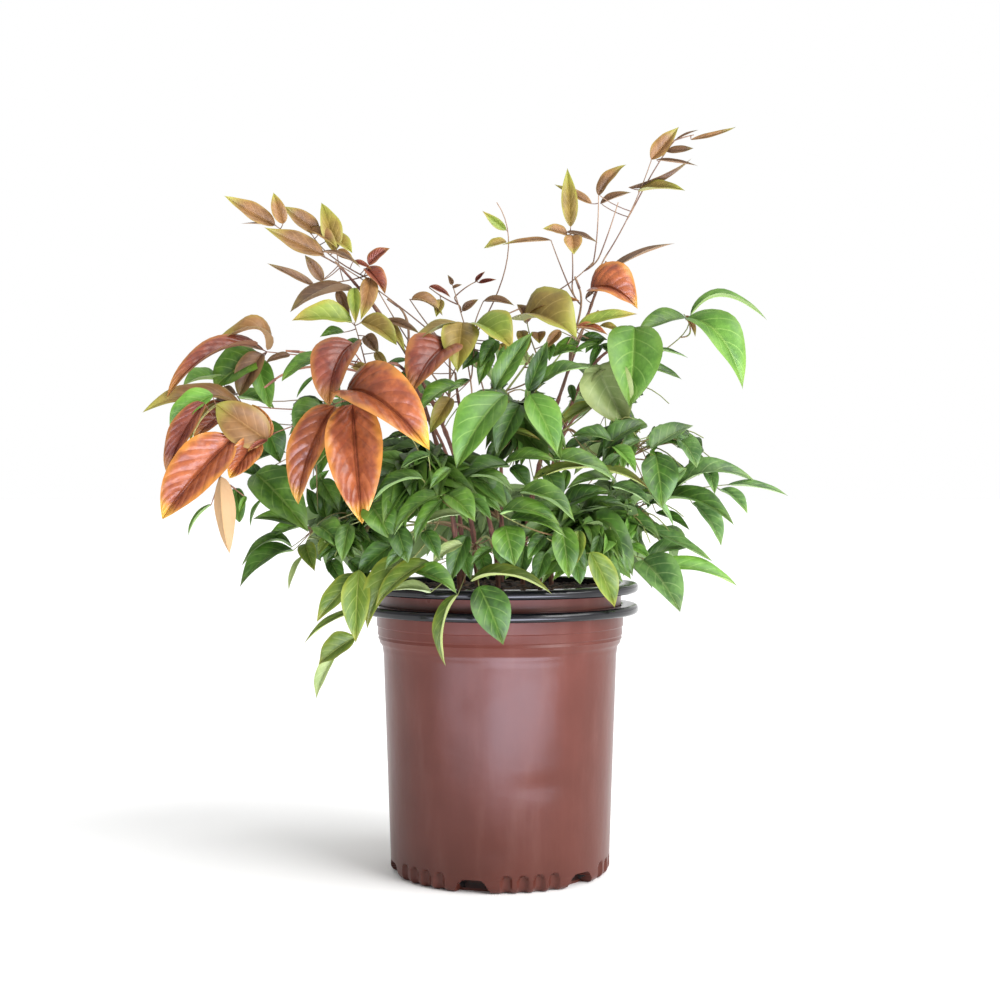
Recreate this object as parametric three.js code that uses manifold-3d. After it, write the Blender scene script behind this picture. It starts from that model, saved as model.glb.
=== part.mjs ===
// Heavenly bamboo, a young clump of canes in a stack of two thin nursery pots.
//
// Millimetres, +Z up. The origin is the middle of the pot's flat underside.
// +X is the plant's right, -Y its front. Every limb and every mass of foliage
// is worked out from the named sizes below by one seeded rule: canes rise from
// the soil, boughs leave the canes, and on each bough's tip sits one mass of
// compound leaves that keeps to its own space.

import * as THREE from 'three';
import { mergeVertices } from 'three/addons/utils/BufferGeometryUtils.js';
import Module from 'manifold-3d';

// ---------------------------------------------------------------- dimensions

const GAP = 0.3; // clearance between pieces that touch
const MERGE_WITHIN = 1e-4; // corners nearer than this are one corner
const FUSE_WITHIN = 0.02; // a joined solid loses edges and slivers under this
const STEEP = 0.8; // a direction with a larger Z than this counts as upright

const POT = {
  lipRadius: 84,
  lipHeight: 5.5,
  lipEdge: 1.2, // rounding of the lip's outer edges
  rimTop: 161.8,
  neckRadius: 75,
  stepHeight: 149,
  collarRadius: 72.6,
  collarHeight: 138.5,
  bodyTopRadius: 70.9,
  bodyTopHeight: 134.5,
  baseRadius: 66.6,
  cornerRadius: 4.5,
  cornerSteps: 2,
  wall: 1,
  floor: 1.5,
  facets: 32,
};

const NEST = { lift: 12.8, shrink: 1.3 }; // the inner pot in the outer one

const DRAIN = {
  count: 6,
  width: 13.5,
  height: 7,
  round: 3,
  below: 1, // how far the cutter starts under the floor
  firstAngle: -44.3, // degrees round from +X
  innerReach: 58,
  outerReach: 72,
};

const SOIL = { top: 172, edgeDrop: 2.5, flatRadius: 58 };

const LIMB = {
  caneFoot: 2.4,
  caneTip: 1.05,
  caneSides: 6,
  caneSteps: 7,
  boughFoot: 1.1,
  boughTip: 0.85,
  boughSides: 4,
  boughSteps: 4,
  stem: 1,
  stemSides: 4,
  stemLength: 7,
  stemLift: 0.5, // how much a stem turns up from the middle of its tips
  rib: 0.6,
  ribTip: 0.5,
  ribSides: 3,
  ribRoot: 0.8, // the first rib leaves the stem this far below its end
  ribSpacing: 1.7, // and each further rib this much lower
};

const LEAF = {
  width: 0.42, // of its length
  broadest: 0.38, // where the blade is broadest, as a share of its length
  fold: 0.22, // how far the blade's edges rise beside the midrib
  thickness: 0.022, // of its length, at the midrib
  sunk: 2, // how far an end blade's root reaches back into its twig
  sideSunk: 0.1, // how far a side blade's root passes its twig's middle
  sag: 0.2, // how far a blade droops, of its length
  bigSag: 0.12, // the same for the large copper blades
  outerShare: 0.95, // length of side blades at the rib's end, of the end blade's
  innerShare: 0.7, // and at its fork
  lengthSpread: [0.85, 1.15],
  sagSpread: [0.7, 1.9],
};

// How a compound leaf grows: ribs from a fork, an end blade, pairs of blades.
const GROWTH = {
  seed: 7920,
  bladeShare: 0.92, // of an end blade's length, left free at the rib's end
  longestBlade: 0.94, // of the way from the fork to the tip
  shortRib: 0.12,
  ribArch: 0.12,
  ribEndRise: 0.2,
  ribTries: 8,
  tryTurn: 2.4, // radians that a rib's next try swings round
  tryShift: 2.5, // and how much further out it bends, mm
  tryLift: 0.5,
  bladeTries: 14,
  lastTry: 0.72, // length of the last try for a blade, of the first
  outerPair: 0.86, // place of the outermost pair of blades along the rib
  pairStep: 0.17,
  bladeTurn: 62, // degrees of a pair's blades from the rib
  turnSpread: 50,
  layer: 0.22, // pairs dip and rise in turn by this much
  riseSpread: 0.9,
  arch: 0.35,
  faceUp: 0.8,
  faceSpread: 0.9,
  lookAhead: 110, // how far off the clump's middle the faces turn, mm
  backHalf: 45, // behind this the faces turn to the back
};

const CLEAR = {
  limb: 1.6, // between a blade and a cane or bough
  rib: 2.2, // between two masses' ribs
  space: 1, // inside the border of a mass's own space
  pot: 2.6,
  step: 3, // distance between the points that are tested along a curve
  rootPoints: 3, // points at a rib's root that are let off the test
  bladeShares: [0.2, 0.38, 0.6, 0.8, 1], // tested places along a blade
  bladeWidths: [-1, -0.5, 0, 0.5, 1], // and across it
};

const TINT = {
  bronze: '#8f5f38',
  copper: '#b4653a',
  olive: '#8a8a3c',
  lime: '#86a83e',
  green: '#4b8838',
  dark: '#33682f',
  cane: '#6b4436',
  bough: '#7a4a3c',
  pot: '#7d4f48',
  soil: '#2a1e18',
};
const ROUGHNESS = { pot: 0.42, soil: 0.95, limb: 0.6, leaf: 0.45 };

// Canes: where each one stands on the soil and the mass that its tip carries.
const CANES = [
  { foot: [14, 4], top: 'top_right' },
  { foot: [-14, -2], top: 'top_left' },
  { foot: [-24, -27], top: 'copper_front' },
  { foot: [31, -9], top: 'lime_right' },
  { foot: [-1, -22], top: 'olive_top' },
  { foot: [-23, 25], top: 'back_left_high' },
  { foot: [25, 27], top: 'back_right_high' },
  { foot: [1, 36], top: 'back_centre_high' },
];

// Masses: the fork that their ribs leave, the tips that the ribs reach, the
// length of the blades, and the pairs of side blades on each rib. A mass that
// isn't on a cane's tip sits on a bough that leaves the cane at a share of it.
const FRONT_MASSES = [
  { name: 'top_right', fork: [66, 20, 373], leaf: 30, pairs: 4, tint: 'bronze',
    tips: [[111, 20, 457], [124, 0, 433], [70, 30, 436]] },
  { name: 'upright', cane: 1, share: 0.7, fork: [46, 8, 362], leaf: 34, pairs: 2, tint: 'bronze',
    tips: [[43, 10, 429], [-10, -8, 401], [64, 0, 394], [-8, 8, 378]] },
  { name: 'copper_right', cane: 1, share: 0.6, fork: [60, -2, 340], leaf: 34, pairs: 1, tint: 'bronze',
    tips: [[89, -15, 341], [106, 10, 383], [45, -24, 321]] },
  { name: 'top_left', fork: [-99, -15, 368], leaf: 32, pairs: 4, tint: 'bronze',
    tips: [[-164, -20, 405], [-111, 0, 407], [-136, -35, 351]] },
  { name: 'left_mid', cane: 2, share: 0.7, fork: [-68, -10, 346], leaf: 36, pairs: 2, tint: 'olive',
    tips: [[-75, -5, 381], [-127, -24, 344], [-121, -45, 326]] },
  { name: 'top_centre', cane: 2, share: 0.48, fork: [-31, -10, 330], leaf: 24, pairs: 3, tint: 'bronze',
    tips: [[-55, -20, 350], [-14, 10, 352], [-27, 0, 368]] },
  { name: 'copper_left', cane: 2, share: 0.56, fork: [-125, -42, 312], leaf: 66, pairs: 0, tint: 'copper',
    tips: [[-193, -62, 281], [-209, -40, 276], [-160, -15, 290]] },
  { name: 'copper_left_low', cane: 3, share: 0.66, fork: [-134, -66, 289], leaf: 64, pairs: 0, tint: 'copper',
    tips: [[-189, -84, 215], [-154, -72, 196], [-188, -54, 242], [-148, -92, 232]] },
  { name: 'copper_front', fork: [-71, -88, 291], leaf: 76, pairs: 0, tint: 'copper',
    tips: [[-74, -117, 213], [-112, -92, 224], [-38, -117, 252], [-100, -84, 318]] },
  { name: 'olive_top', fork: [-26, -45, 299], leaf: 44, pairs: 3, tint: 'olive',
    tips: [[-54, -66, 328], [-16, -34, 338], [-50, -82, 278], [6, -62, 322]] },
  { name: 'bronze_centre', cane: 5, share: 0.68, fork: [20, -22, 312], leaf: 42, pairs: 2, tint: 'lime',
    tips: [[49, -44, 316], [8, -14, 352], [85, -32, 330]] },
  { name: 'lime_right', fork: [92, -5, 322], leaf: 54, pairs: 2, tint: 'lime',
    tips: [[148, -12, 294], [166, 15, 337], [68, -42, 279]] },
  { name: 'green_centre', cane: 5, share: 0.46, fork: [12, -52, 270], leaf: 50, pairs: 4, tint: 'green',
    tips: [[34, -104, 246], [-22, -104, 244], [72, -74, 270], [2, -96, 286]] },
  { name: 'green_inner_right', cane: 4, share: 0.5, fork: [66, -36, 256], leaf: 50, pairs: 4, tint: 'green',
    tips: [[84, -104, 240], [122, -66, 250], [112, -34, 286]] },
  { name: 'green_right', cane: 4, share: 0.38, fork: [80, 4, 250], leaf: 50, pairs: 5, tint: 'dark',
    tips: [[175, -5, 229], [170, 36, 256], [142, -44, 216]] },
  { name: 'green_right_low', cane: 4, share: 0.2, fork: [76, -12, 211], leaf: 48, pairs: 5, tint: 'green',
    tips: [[140, -22, 173], [108, -54, 159], [152, 24, 198]] },
  { name: 'green_left', cane: 2, share: 0.34, fork: [-76, 0, 252], leaf: 50, pairs: 5, tint: 'green',
    tips: [[-154, -8, 262], [-148, -36, 218], [-156, 34, 238], [-166, 14, 296]] },
  { name: 'green_left_low', cane: 2, share: 0.16, fork: [-82, -12, 207], leaf: 48, pairs: 5, tint: 'dark',
    tips: [[-156, -16, 174], [-120, -44, 148], [-152, 28, 186]] },
  { name: 'droop_left', cane: 3, share: 0.14, fork: [-60, -64, 200], leaf: 46, pairs: 3, tint: 'green',
    tips: [[-103, -82, 115], [-82, -100, 148]] },
  { name: 'green_front', cane: 3, share: 0.42, fork: [-30, -76, 238], leaf: 48, pairs: 4, tint: 'green',
    tips: [[-62, -128, 212], [-6, -138, 208], [-92, -98, 232], [-36, -132, 242]] },
  { name: 'front_rim', cane: 5, share: 0.14, fork: [-14, -68, 200], leaf: 46, pairs: 3, tint: 'green',
    tips: [[0, -107, 148], [-32, -106, 137], [-62, -108, 168]] },
  { name: 'front_rim_right', cane: 4, share: 0.1, fork: [42, -62, 206], leaf: 46, pairs: 4, tint: 'green',
    tips: [[66, -108, 166], [24, -124, 180], [90, -92, 190], [50, -120, 206]] },
];

// The back of the clump: two rings of masses, each with its ribs in a fan.
const BACK = {
  high: { radius: 82, fork: 288, leaf: 52, tint: 'green',
    reach: [158, 164, 112], tipHeight: [262, 240, 332] },
  low: { radius: 84, fork: 213, leaf: 50, tint: 'dark',
    reach: [160, 162, 158], tipHeight: [196, 172, 214] },
  fan: [-24, 24, 2], // degrees of the ribs from the mass's own direction
  share: 0.24,
  pairs: 5,
};
const BACK_PLACES = [
  { side: 'left', cane: 6, angle: 143 },
  { side: 'right', cane: 7, angle: 38 },
  { side: 'centre', cane: 8, angle: 91 },
];

// ------------------------------------------------------------------- helpers

const UP = new THREE.Vector3(0, 0, 1);
const { lerp, degToRad } = THREE.MathUtils;

const vector = (place) => new THREE.Vector3(...place);

function polar(degrees, radius, height) {
  const angle = degToRad(degrees);
  return [radius * Math.cos(angle), radius * Math.sin(angle), height];
}

// A repeatable run of numbers from 0 to 1.
function seededDraws(seed) {
  let state = seed >>> 0;
  return () => {
    state = (Math.imul(state, 1664525) + 1013904223) >>> 0;
    return state / 4294967296;
  };
}

const wasm = await Module();
wasm.setup();

function toSolid(geometry) {
  const bare = geometry.clone();
  bare.deleteAttribute('normal');
  bare.deleteAttribute('uv');
  const merged = mergeVertices(bare, MERGE_WITHIN);
  const corners = merged.index.array;
  const kept = [];
  for (let i = 0; i < corners.length; i += 3) {
    const [a, b, c] = corners.slice(i, i + 3);
    if (a !== b && b !== c && c !== a) kept.push(a, b, c);
  }
  return new wasm.Manifold(new wasm.Mesh({
    numProp: 3,
    vertProperties: merged.attributes.position.array,
    triVerts: new Uint32Array(kept),
  }));
}

function toGeometry(solid) {
  const mesh = solid.getMesh();
  const geometry = new THREE.BufferGeometry();
  geometry.setAttribute('position', new THREE.BufferAttribute(mesh.vertProperties, 3));
  geometry.setIndex(new THREE.BufferAttribute(mesh.triVerts, 1));
  geometry.computeVertexNormals();
  return geometry;
}

// Joins solids into one, fills sealed hollows and drops loose scraps.
function fuse(solids) {
  const joined = solids.reduce((whole, next) => whole.add(next));
  const bodies = joined.simplify(FUSE_WITHIN).decompose();
  return bodies.reduce((best, next) => (next.volume() > best.volume() ? next : best));
}

function piece(name, geometry, colour, roughness) {
  const material = new THREE.MeshStandardMaterial({ color: colour, roughness, metalness: 0 });
  const mesh = new THREE.Mesh(geometry, material);
  mesh.name = name;
  return mesh;
}

// ----------------------------------------------------------------------- pot

function potProfile(shrink) {
  const narrow = (radius) => radius - shrink;
  const lipFoot = POT.rimTop - POT.lipHeight;
  const base = narrow(POT.baseRadius);
  const outer = [[0, 0]];
  for (let step = 0; step <= POT.cornerSteps; step += 1) {
    const turn = (step / POT.cornerSteps) * (Math.PI / 2);
    outer.push([
      base - POT.cornerRadius * (1 - Math.sin(turn)),
      POT.cornerRadius * (1 - Math.cos(turn)),
    ]);
  }
  outer.push(
    [narrow(POT.bodyTopRadius), POT.bodyTopHeight],
    [narrow(POT.collarRadius), POT.collarHeight],
    [narrow(POT.neckRadius), POT.stepHeight],
    [narrow(POT.neckRadius), lipFoot],
    [POT.lipRadius - POT.lipEdge, lipFoot],
    [POT.lipRadius, lipFoot + POT.lipEdge],
    [POT.lipRadius, POT.rimTop - POT.lipEdge],
    [POT.lipRadius - POT.lipEdge, POT.rimTop],
  );
  const within = (radius) => narrow(radius) - POT.wall;
  const inner = [
    [within(POT.neckRadius), POT.rimTop],
    [within(POT.neckRadius), POT.stepHeight],
    [within(POT.bodyTopRadius), POT.bodyTopHeight],
    [within(POT.baseRadius), POT.cornerRadius + POT.floor],
    [within(POT.baseRadius) - POT.cornerRadius, POT.floor],
    [0, POT.floor],
  ];
  return { outer, inner };
}

function lathe(points) {
  const profile = points.map(([radius, height]) => new THREE.Vector2(radius, height));
  const turned = new THREE.LatheGeometry(profile, POT.facets);
  turned.rotateX(Math.PI / 2);
  return toSolid(turned);
}

// One drain opening: an arch cut through the wall where it meets the floor.
function drainCutter(index) {
  const half = DRAIN.width / 2;
  const arch = new THREE.Shape();
  arch.moveTo(-half, -DRAIN.below);
  arch.lineTo(half, -DRAIN.below);
  arch.lineTo(half, DRAIN.height - DRAIN.round);
  arch.lineTo(half - DRAIN.round, DRAIN.height);
  arch.lineTo(DRAIN.round - half, DRAIN.height);
  arch.lineTo(-half, DRAIN.height - DRAIN.round);
  arch.closePath();
  const cutter = new THREE.ExtrudeGeometry(arch, {
    depth: DRAIN.outerReach - DRAIN.innerReach,
    bevelEnabled: false,
  });
  cutter.translate(0, 0, DRAIN.innerReach);
  cutter.rotateX(Math.PI / 2);
  cutter.rotateZ(Math.PI / 2 + degToRad(DRAIN.firstAngle + (360 / DRAIN.count) * index));
  return toSolid(cutter);
}

function potSolid(shrink) {
  const { outer, inner } = potProfile(shrink);
  let pot = lathe([...outer, ...inner]);
  for (let index = 0; index < DRAIN.count; index += 1) {
    pot = pot.subtract(drainCutter(index));
  }
  return pot;
}

// The soil fills the inner pot, flat where the canes stand.
function soilSolid() {
  const { inner } = potProfile(NEST.shrink);
  const top = SOIL.top - NEST.lift;
  const wallRadius = inner[0][0] - GAP;
  const side = inner
    .filter(([radius, height]) => radius > 0 && height < top)
    .map(([radius, height]) => [radius - GAP, height + GAP])
    .reverse();
  return lathe([
    [0, POT.floor + GAP],
    ...side,
    [wallRadius, top - SOIL.edgeDrop],
    [SOIL.flatRadius, top],
    [0, top],
  ]);
}

// --------------------------------------------------------------------- limbs

const evenShares = (steps) => Array.from({ length: steps + 1 }, (_, i) => i / steps);

// Rings of frames carried along a curve without twisting.
function framesAlong(curve, shares) {
  const start = curve.getTangent(0);
  const aside = Math.abs(start.z) > STEEP ? new THREE.Vector3(1, 0, 0) : UP;
  let side = new THREE.Vector3().crossVectors(start, aside);
  return shares.map((share) => {
    const ahead = curve.getTangent(share);
    side = side.clone().addScaledVector(ahead, -side.dot(ahead)).normalize();
    const lift = new THREE.Vector3().crossVectors(side, ahead);
    return { point: curve.getPoint(share), side, lift };
  });
}

// A tapering limb: an upright cylinder bent along the curve, ringed at the shares.
function limbGeometry(curve, footRadius, tipRadius, sides, shares) {
  const steps = shares.length - 1;
  const limb = new THREE.CylinderGeometry(tipRadius, footRadius, 1, sides, steps);
  const frames = framesAlong(curve, shares);
  const position = limb.attributes.position;
  for (let i = 0; i < position.count; i += 1) {
    const ring = frames[Math.round((position.getY(i) + 0.5) * steps)];
    const place = ring.point.clone()
      .addScaledVector(ring.side, position.getX(i))
      .addScaledVector(ring.lift, position.getZ(i));
    position.setXYZ(i, place.x, place.y, place.z);
  }
  return limb;
}

function backMass(place, level) {
  const ring = BACK[level];
  const onCane = level === 'high';
  return {
    name: `back_${place.side}_${level}`,
    cane: onCane ? undefined : place.cane,
    share: BACK.share,
    fork: polar(place.angle, ring.radius, ring.fork),
    tips: BACK.fan.map((turn, i) => polar(place.angle + turn, ring.reach[i], ring.tipHeight[i])),
    leaf: ring.leaf,
    pairs: BACK.pairs,
    tint: ring.tint,
  };
}

// The mass's stem points at the middle of its tips, and ends at its fork.
function withStem(row) {
  const fork = vector(row.fork);
  const tips = row.tips.map(vector);
  const middle = new THREE.Vector3();
  for (const tip of tips) middle.addScaledVector(tip, 1 / tips.length);
  const ahead = middle.sub(fork).normalize().addScaledVector(UP, LIMB.stemLift).normalize();
  const foot = fork.clone().addScaledVector(ahead, -LIMB.stemLength);
  return { ...row, fork, tips, ahead, foot };
}

const MASSES = [
  ...FRONT_MASSES,
  ...BACK_PLACES.map((place) => backMass(place, 'high')),
  ...BACK_PLACES.map((place) => backMass(place, 'low')),
].map(withStem);

// A limb from its start, in its first direction, to just short of a mass's stem.
function limbCurve(start, firstWay, mass) {
  const end = mass.foot.clone().addScaledVector(mass.ahead, -GAP);
  const reach = start.distanceTo(end) / 3;
  return new THREE.CubicBezierCurve3(
    start,
    start.clone().addScaledVector(firstWay, reach),
    end.clone().addScaledVector(mass.ahead, -reach),
    end,
  );
}

function caneLimb(row, index) {
  const mass = MASSES.find(({ name }) => name === row.top);
  const foot = new THREE.Vector3(...row.foot, SOIL.top + GAP);
  return {
    name: `cane_${index + 1}`,
    curve: limbCurve(foot, UP, mass),
    footRadius: LIMB.caneFoot,
    tipRadius: LIMB.caneTip,
  };
}

const CANE_LIMBS = CANES.map(caneLimb);

// A bough starts at the cane's side, far enough out that its foot clears it.
function boughLimb(mass) {
  const cane = CANE_LIMBS[mass.cane - 1];
  const centre = cane.curve.getPoint(mass.share);
  const along = cane.curve.getTangent(mass.share);
  const outward = mass.foot.clone().sub(centre);
  outward.addScaledVector(along, -outward.dot(along)).normalize();
  const firstWay = outward.clone().add(along).normalize();
  const caneRadius = lerp(cane.footRadius, cane.tipRadius, mass.share);
  const slope = Math.SQRT1_2; // the bough leaves at half a right angle
  const start = (caneRadius + GAP + LIMB.boughFoot * slope) / slope;
  return {
    name: `bough_${mass.name}`,
    curve: limbCurve(centre.addScaledVector(firstWay, start), firstWay, mass),
    footRadius: LIMB.boughFoot,
    tipRadius: LIMB.boughTip,
  };
}

const BOUGH_LIMBS = MASSES.filter(({ cane }) => cane).map(boughLimb);

// ------------------------------------------------------------------- foliage

function samplesAlong(curve, radius = 0) {
  const count = Math.ceil(curve.getLength() / CLEAR.step);
  return Array.from({ length: count + 1 }, (_, i) => ({ point: curve.getPoint(i / count), radius }));
}

const LIMB_SAMPLES = [...CANE_LIMBS, ...BOUGH_LIMBS]
  .flatMap(({ curve, footRadius }) => samplesAlong(curve, footRadius));

function nearest(point, samples) {
  let best = Infinity;
  for (const sample of samples) {
    best = Math.min(best, point.distanceTo(sample.point) - sample.radius);
  }
  return best;
}

function clearOfPot(point) {
  const radius = Math.hypot(point.x, point.y);
  const rim = POT.rimTop + NEST.lift;
  if (radius < POT.lipRadius + CLEAR.pot) return point.z > rim + CLEAR.pot;
  return point.z > CLEAR.pot;
}

const isFree = (point) => nearest(point, LIMB_SAMPLES) > CLEAR.limb && clearOfPot(point);

// A rib is two straight lengths that arch from the fork to its end blade's root.
function ribCurve(mass, tip, blade, order, shift) {
  const reach = tip.distanceTo(mass.fork);
  const share = Math.max(1 - (GROWTH.bladeShare * blade) / reach, GROWTH.shortRib);
  const end = mass.fork.clone().lerp(tip, share).addScaledVector(UP, GROWTH.ribEndRise * blade);
  const start = mass.fork.clone().addScaledVector(mass.ahead, -LIMB.ribRoot - LIMB.ribSpacing * order);
  const bend = start.clone().lerp(end, 0.5).addScaledVector(UP, GROWTH.ribArch * reach).add(shift);
  const rib = new THREE.CurvePath();
  rib.add(new THREE.LineCurve3(start, bend));
  rib.add(new THREE.LineCurve3(bend, end));
  return rib;
}

// The shares of a rib's length at its foot, its bend and its end.
function ribShares(rib) {
  const [first, whole] = rib.getCurveLengths();
  return [0, first / whole, 1];
}

// Tries the straight rib first, then ones that swing a little further round.
function growRib(mass, tip, order, others) {
  const blade = Math.min(mass.leaf, GROWTH.longestBlade * tip.distanceTo(mass.fork));
  for (let attempt = 0; attempt < GROWTH.ribTries; attempt += 1) {
    const turn = attempt * GROWTH.tryTurn;
    const shift = vector([Math.cos(turn), Math.sin(turn), GROWTH.tryLift])
      .multiplyScalar(GROWTH.tryShift * attempt);
    const curve = ribCurve(mass, tip, blade, order, shift);
    const midrib = new THREE.LineCurve3(curve.getPoint(1), tip);
    const samples = [...samplesAlong(curve), ...samplesAlong(midrib)];
    const fits = samples.slice(CLEAR.rootPoints)
      .every(({ point }) => isFree(point) && nearest(point, others) > CLEAR.rib);
    if (fits) return { tip, blade, curve, samples };
  }
  return null;
}

function growRibs() {
  const others = [];
  for (const mass of MASSES) {
    mass.ribs = mass.tips
      .map((tip, order) => growRib(mass, tip, order, others))
      .filter((rib) => rib !== null);
    others.push(...mass.ribs.flatMap((rib) => rib.samples));
  }
}

// A blade from its root, with its upper face turned up, outward and off centre.
function bladeShape(root, way, length, sag, sunk, draw) {
  const bow = UP.clone().multiplyScalar(-sag * length);
  const tip = root.clone().addScaledVector(way, length).add(bow);
  const bend = root.clone().addScaledVector(way, length / 2).addScaledVector(bow, -GROWTH.arch);
  const curve = new THREE.QuadraticBezierCurve3(root, bend, tip);
  const along = tip.clone().sub(root).normalize();
  const ahead = root.y < GROWTH.backHalf ? -GROWTH.lookAhead : GROWTH.lookAhead;
  const outward = new THREE.Vector3(root.x, root.y + ahead, 0).normalize();
  const chance = vector([draw() - 0.5, draw() - 0.5, draw() - 0.5]);
  const face = UP.clone().multiplyScalar(GROWTH.faceUp).add(outward)
    .addScaledVector(chance, GROWTH.faceSpread);
  const side = new THREE.Vector3().crossVectors(along, face).normalize();
  const lift = new THREE.Vector3().crossVectors(side, along);
  return { curve, side, lift, length, sunk, halfWidth: (LEAF.width * length) / 2 };
}

function bladeSamples(blade) {
  const samples = [];
  for (const share of CLEAR.bladeShares) {
    const half = blade.halfWidth * Math.min(share / LEAF.broadest, (1 - share) / (1 - LEAF.broadest));
    for (const across of CLEAR.bladeWidths) {
      samples.push(blade.curve.getPoint(share)
        .addScaledVector(blade.side, across * half)
        .addScaledVector(blade.lift, Math.abs(across) * half * LEAF.fold));
    }
  }
  return samples;
}

function sideWay(along, hand, turn, rise) {
  const aside = new THREE.Vector3().crossVectors(along, UP).normalize();
  const angle = degToRad(turn);
  return along.clone().multiplyScalar(Math.cos(angle))
    .addScaledVector(aside, hand * Math.sin(angle))
    .addScaledVector(UP, rise)
    .normalize();
}

// The blade at a rib's end, aimed so that its tip meets the rib's own tip.
function endBlade(mass, rib, draw) {
  const end = rib.curve.getPoint(1);
  const sag = mass.pairs > 0 ? LEAF.sag : LEAF.bigSag;
  const way = rib.tip.clone().sub(end);
  const reach = way.length();
  way.addScaledVector(UP, sag * reach).divideScalar(reach);
  return bladeShape(end, way, reach, sag, LEAF.sunk, draw);
}

// A blade to one hand of a node, shorter towards the fork and at each new try.
function sideBlade(rib, share, hand, rise, draw, attempt) {
  const root = rib.curve.getPoint(share);
  const turn = GROWTH.bladeTurn + GROWTH.turnSpread * (draw() - 0.5);
  const lift = rise + GROWTH.riseSpread * (draw() - 0.5);
  const way = sideWay(rib.curve.getTangent(share), hand, turn, lift);
  const length = rib.blade * lerp(LEAF.innerShare, LEAF.outerShare, share)
    * lerp(...LEAF.lengthSpread, draw())
    * lerp(1, GROWTH.lastTry, attempt / GROWTH.bladeTries);
  const sag = LEAF.sag * lerp(...LEAF.sagSpread, draw());
  return bladeShape(root, way, length, sag, LEAF.sideSunk, draw);
}

// Every place on a mass's ribs where a blade may grow, the ribs' ends first.
function bladePlaces(mass, massIndex) {
  const firstSeed = GROWTH.seed * (massIndex + 1);
  const places = mass.ribs.map((rib) => ({ rib, grow: (draw) => endBlade(mass, rib, draw) }));
  for (let node = 0; node < mass.pairs; node += 1) {
    const share = GROWTH.outerPair - GROWTH.pairStep * node;
    const rise = node % 2 === 0 ? -GROWTH.layer : GROWTH.layer;
    for (const rib of mass.ribs) {
      for (const hand of [-1, 1]) {
        const grow = (draw, attempt) => sideBlade(rib, share, hand, rise, draw, attempt);
        places.push({ rib, grow });
      }
    }
  }
  return places.map((place, index) => ({ ...place, draw: seededDraws(firstSeed + index) }));
}

// A mass's own space: all that is nearer to its ribs than to any other's.
function ownSpace(mass) {
  const samplesOf = (some) => some.ribs.flatMap((rib) => rib.samples);
  const own = samplesOf(mass);
  const others = MASSES.filter((other) => other !== mass).flatMap(samplesOf);
  return (point) => nearest(point, own) + CLEAR.space < nearest(point, others);
}

// A blade is a flat spindle of four sides, bent along its midrib and folded.
function bladeGeometry(blade) {
  const profile = [[0, 0], [1, LEAF.broadest], [0, 1]];
  const leaf = new THREE.LatheGeometry(profile.map((place) => new THREE.Vector2(...place)), 4);
  const position = leaf.attributes.position;
  const halfThick = (blade.length * LEAF.thickness) / 2;
  for (let i = 0; i < position.count; i += 1) {
    const across = position.getX(i);
    const share = position.getY(i);
    const place = blade.curve.getPoint(share)
      .addScaledVector(blade.side, across * blade.halfWidth)
      .addScaledVector(blade.lift, position.getZ(i) * halfThick)
      .addScaledVector(blade.lift, Math.abs(across) * blade.halfWidth * LEAF.fold);
    if (share === 0) place.addScaledVector(blade.curve.getTangent(0), -blade.sunk);
    position.setXYZ(i, place.x, place.y, place.z);
  }
  return leaf;
}

function boxesMeet(one, other) {
  return one.min.every((low, axis) => low <= other.max[axis] && other.min[axis] <= one.max[axis]);
}

function crossesAny(solid, bodies, own) {
  const box = solid.boundingBox();
  return bodies.some((body) => body !== own && boxesMeet(box, body.boundingBox())
    && !solid.intersect(body).isEmpty());
}

// A mass is its stem, its ribs and its blades. A blade that would leave the
// mass's space, or touch a limb or another blade, is tried again and then skipped.
function massSolid(mass, massIndex) {
  const inSpace = ownSpace(mass);
  const stem = new THREE.LineCurve3(mass.foot, mass.fork);
  const bars = new Map(mass.ribs.map((rib) => {
    const bar = limbGeometry(rib.curve, LIMB.rib, LIMB.ribTip, LIMB.ribSides, ribShares(rib.curve));
    return [rib, toSolid(bar)];
  }));
  const stemBar = limbGeometry(stem, LIMB.stem, LIMB.stem, LIMB.stemSides, evenShares(1));
  const kept = [toSolid(stemBar), ...bars.values()];
  for (const { rib, grow, draw } of bladePlaces(mass, massIndex)) {
    for (let attempt = 0; attempt < GROWTH.bladeTries; attempt += 1) {
      const blade = grow(draw, attempt);
      if (!bladeSamples(blade).every((point) => inSpace(point) && isFree(point))) continue;
      const solid = toSolid(bladeGeometry(blade));
      if (crossesAny(solid, kept, bars.get(rib))) continue;
      kept.push(solid);
      break;
    }
  }
  return fuse(kept);
}

// ------------------------------------------------------------------ assembly

growRibs();

const plant = new THREE.Group();

const outerPot = piece('outer_pot', toGeometry(potSolid(0)), TINT.pot, ROUGHNESS.pot);
const innerPot = piece('inner_pot', toGeometry(potSolid(NEST.shrink)), TINT.pot, ROUGHNESS.pot);
innerPot.position.z = NEST.lift;
const soil = piece('soil', toGeometry(soilSolid()), TINT.soil, ROUGHNESS.soil);
soil.position.z = NEST.lift;
plant.add(outerPot, innerPot, soil);

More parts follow.
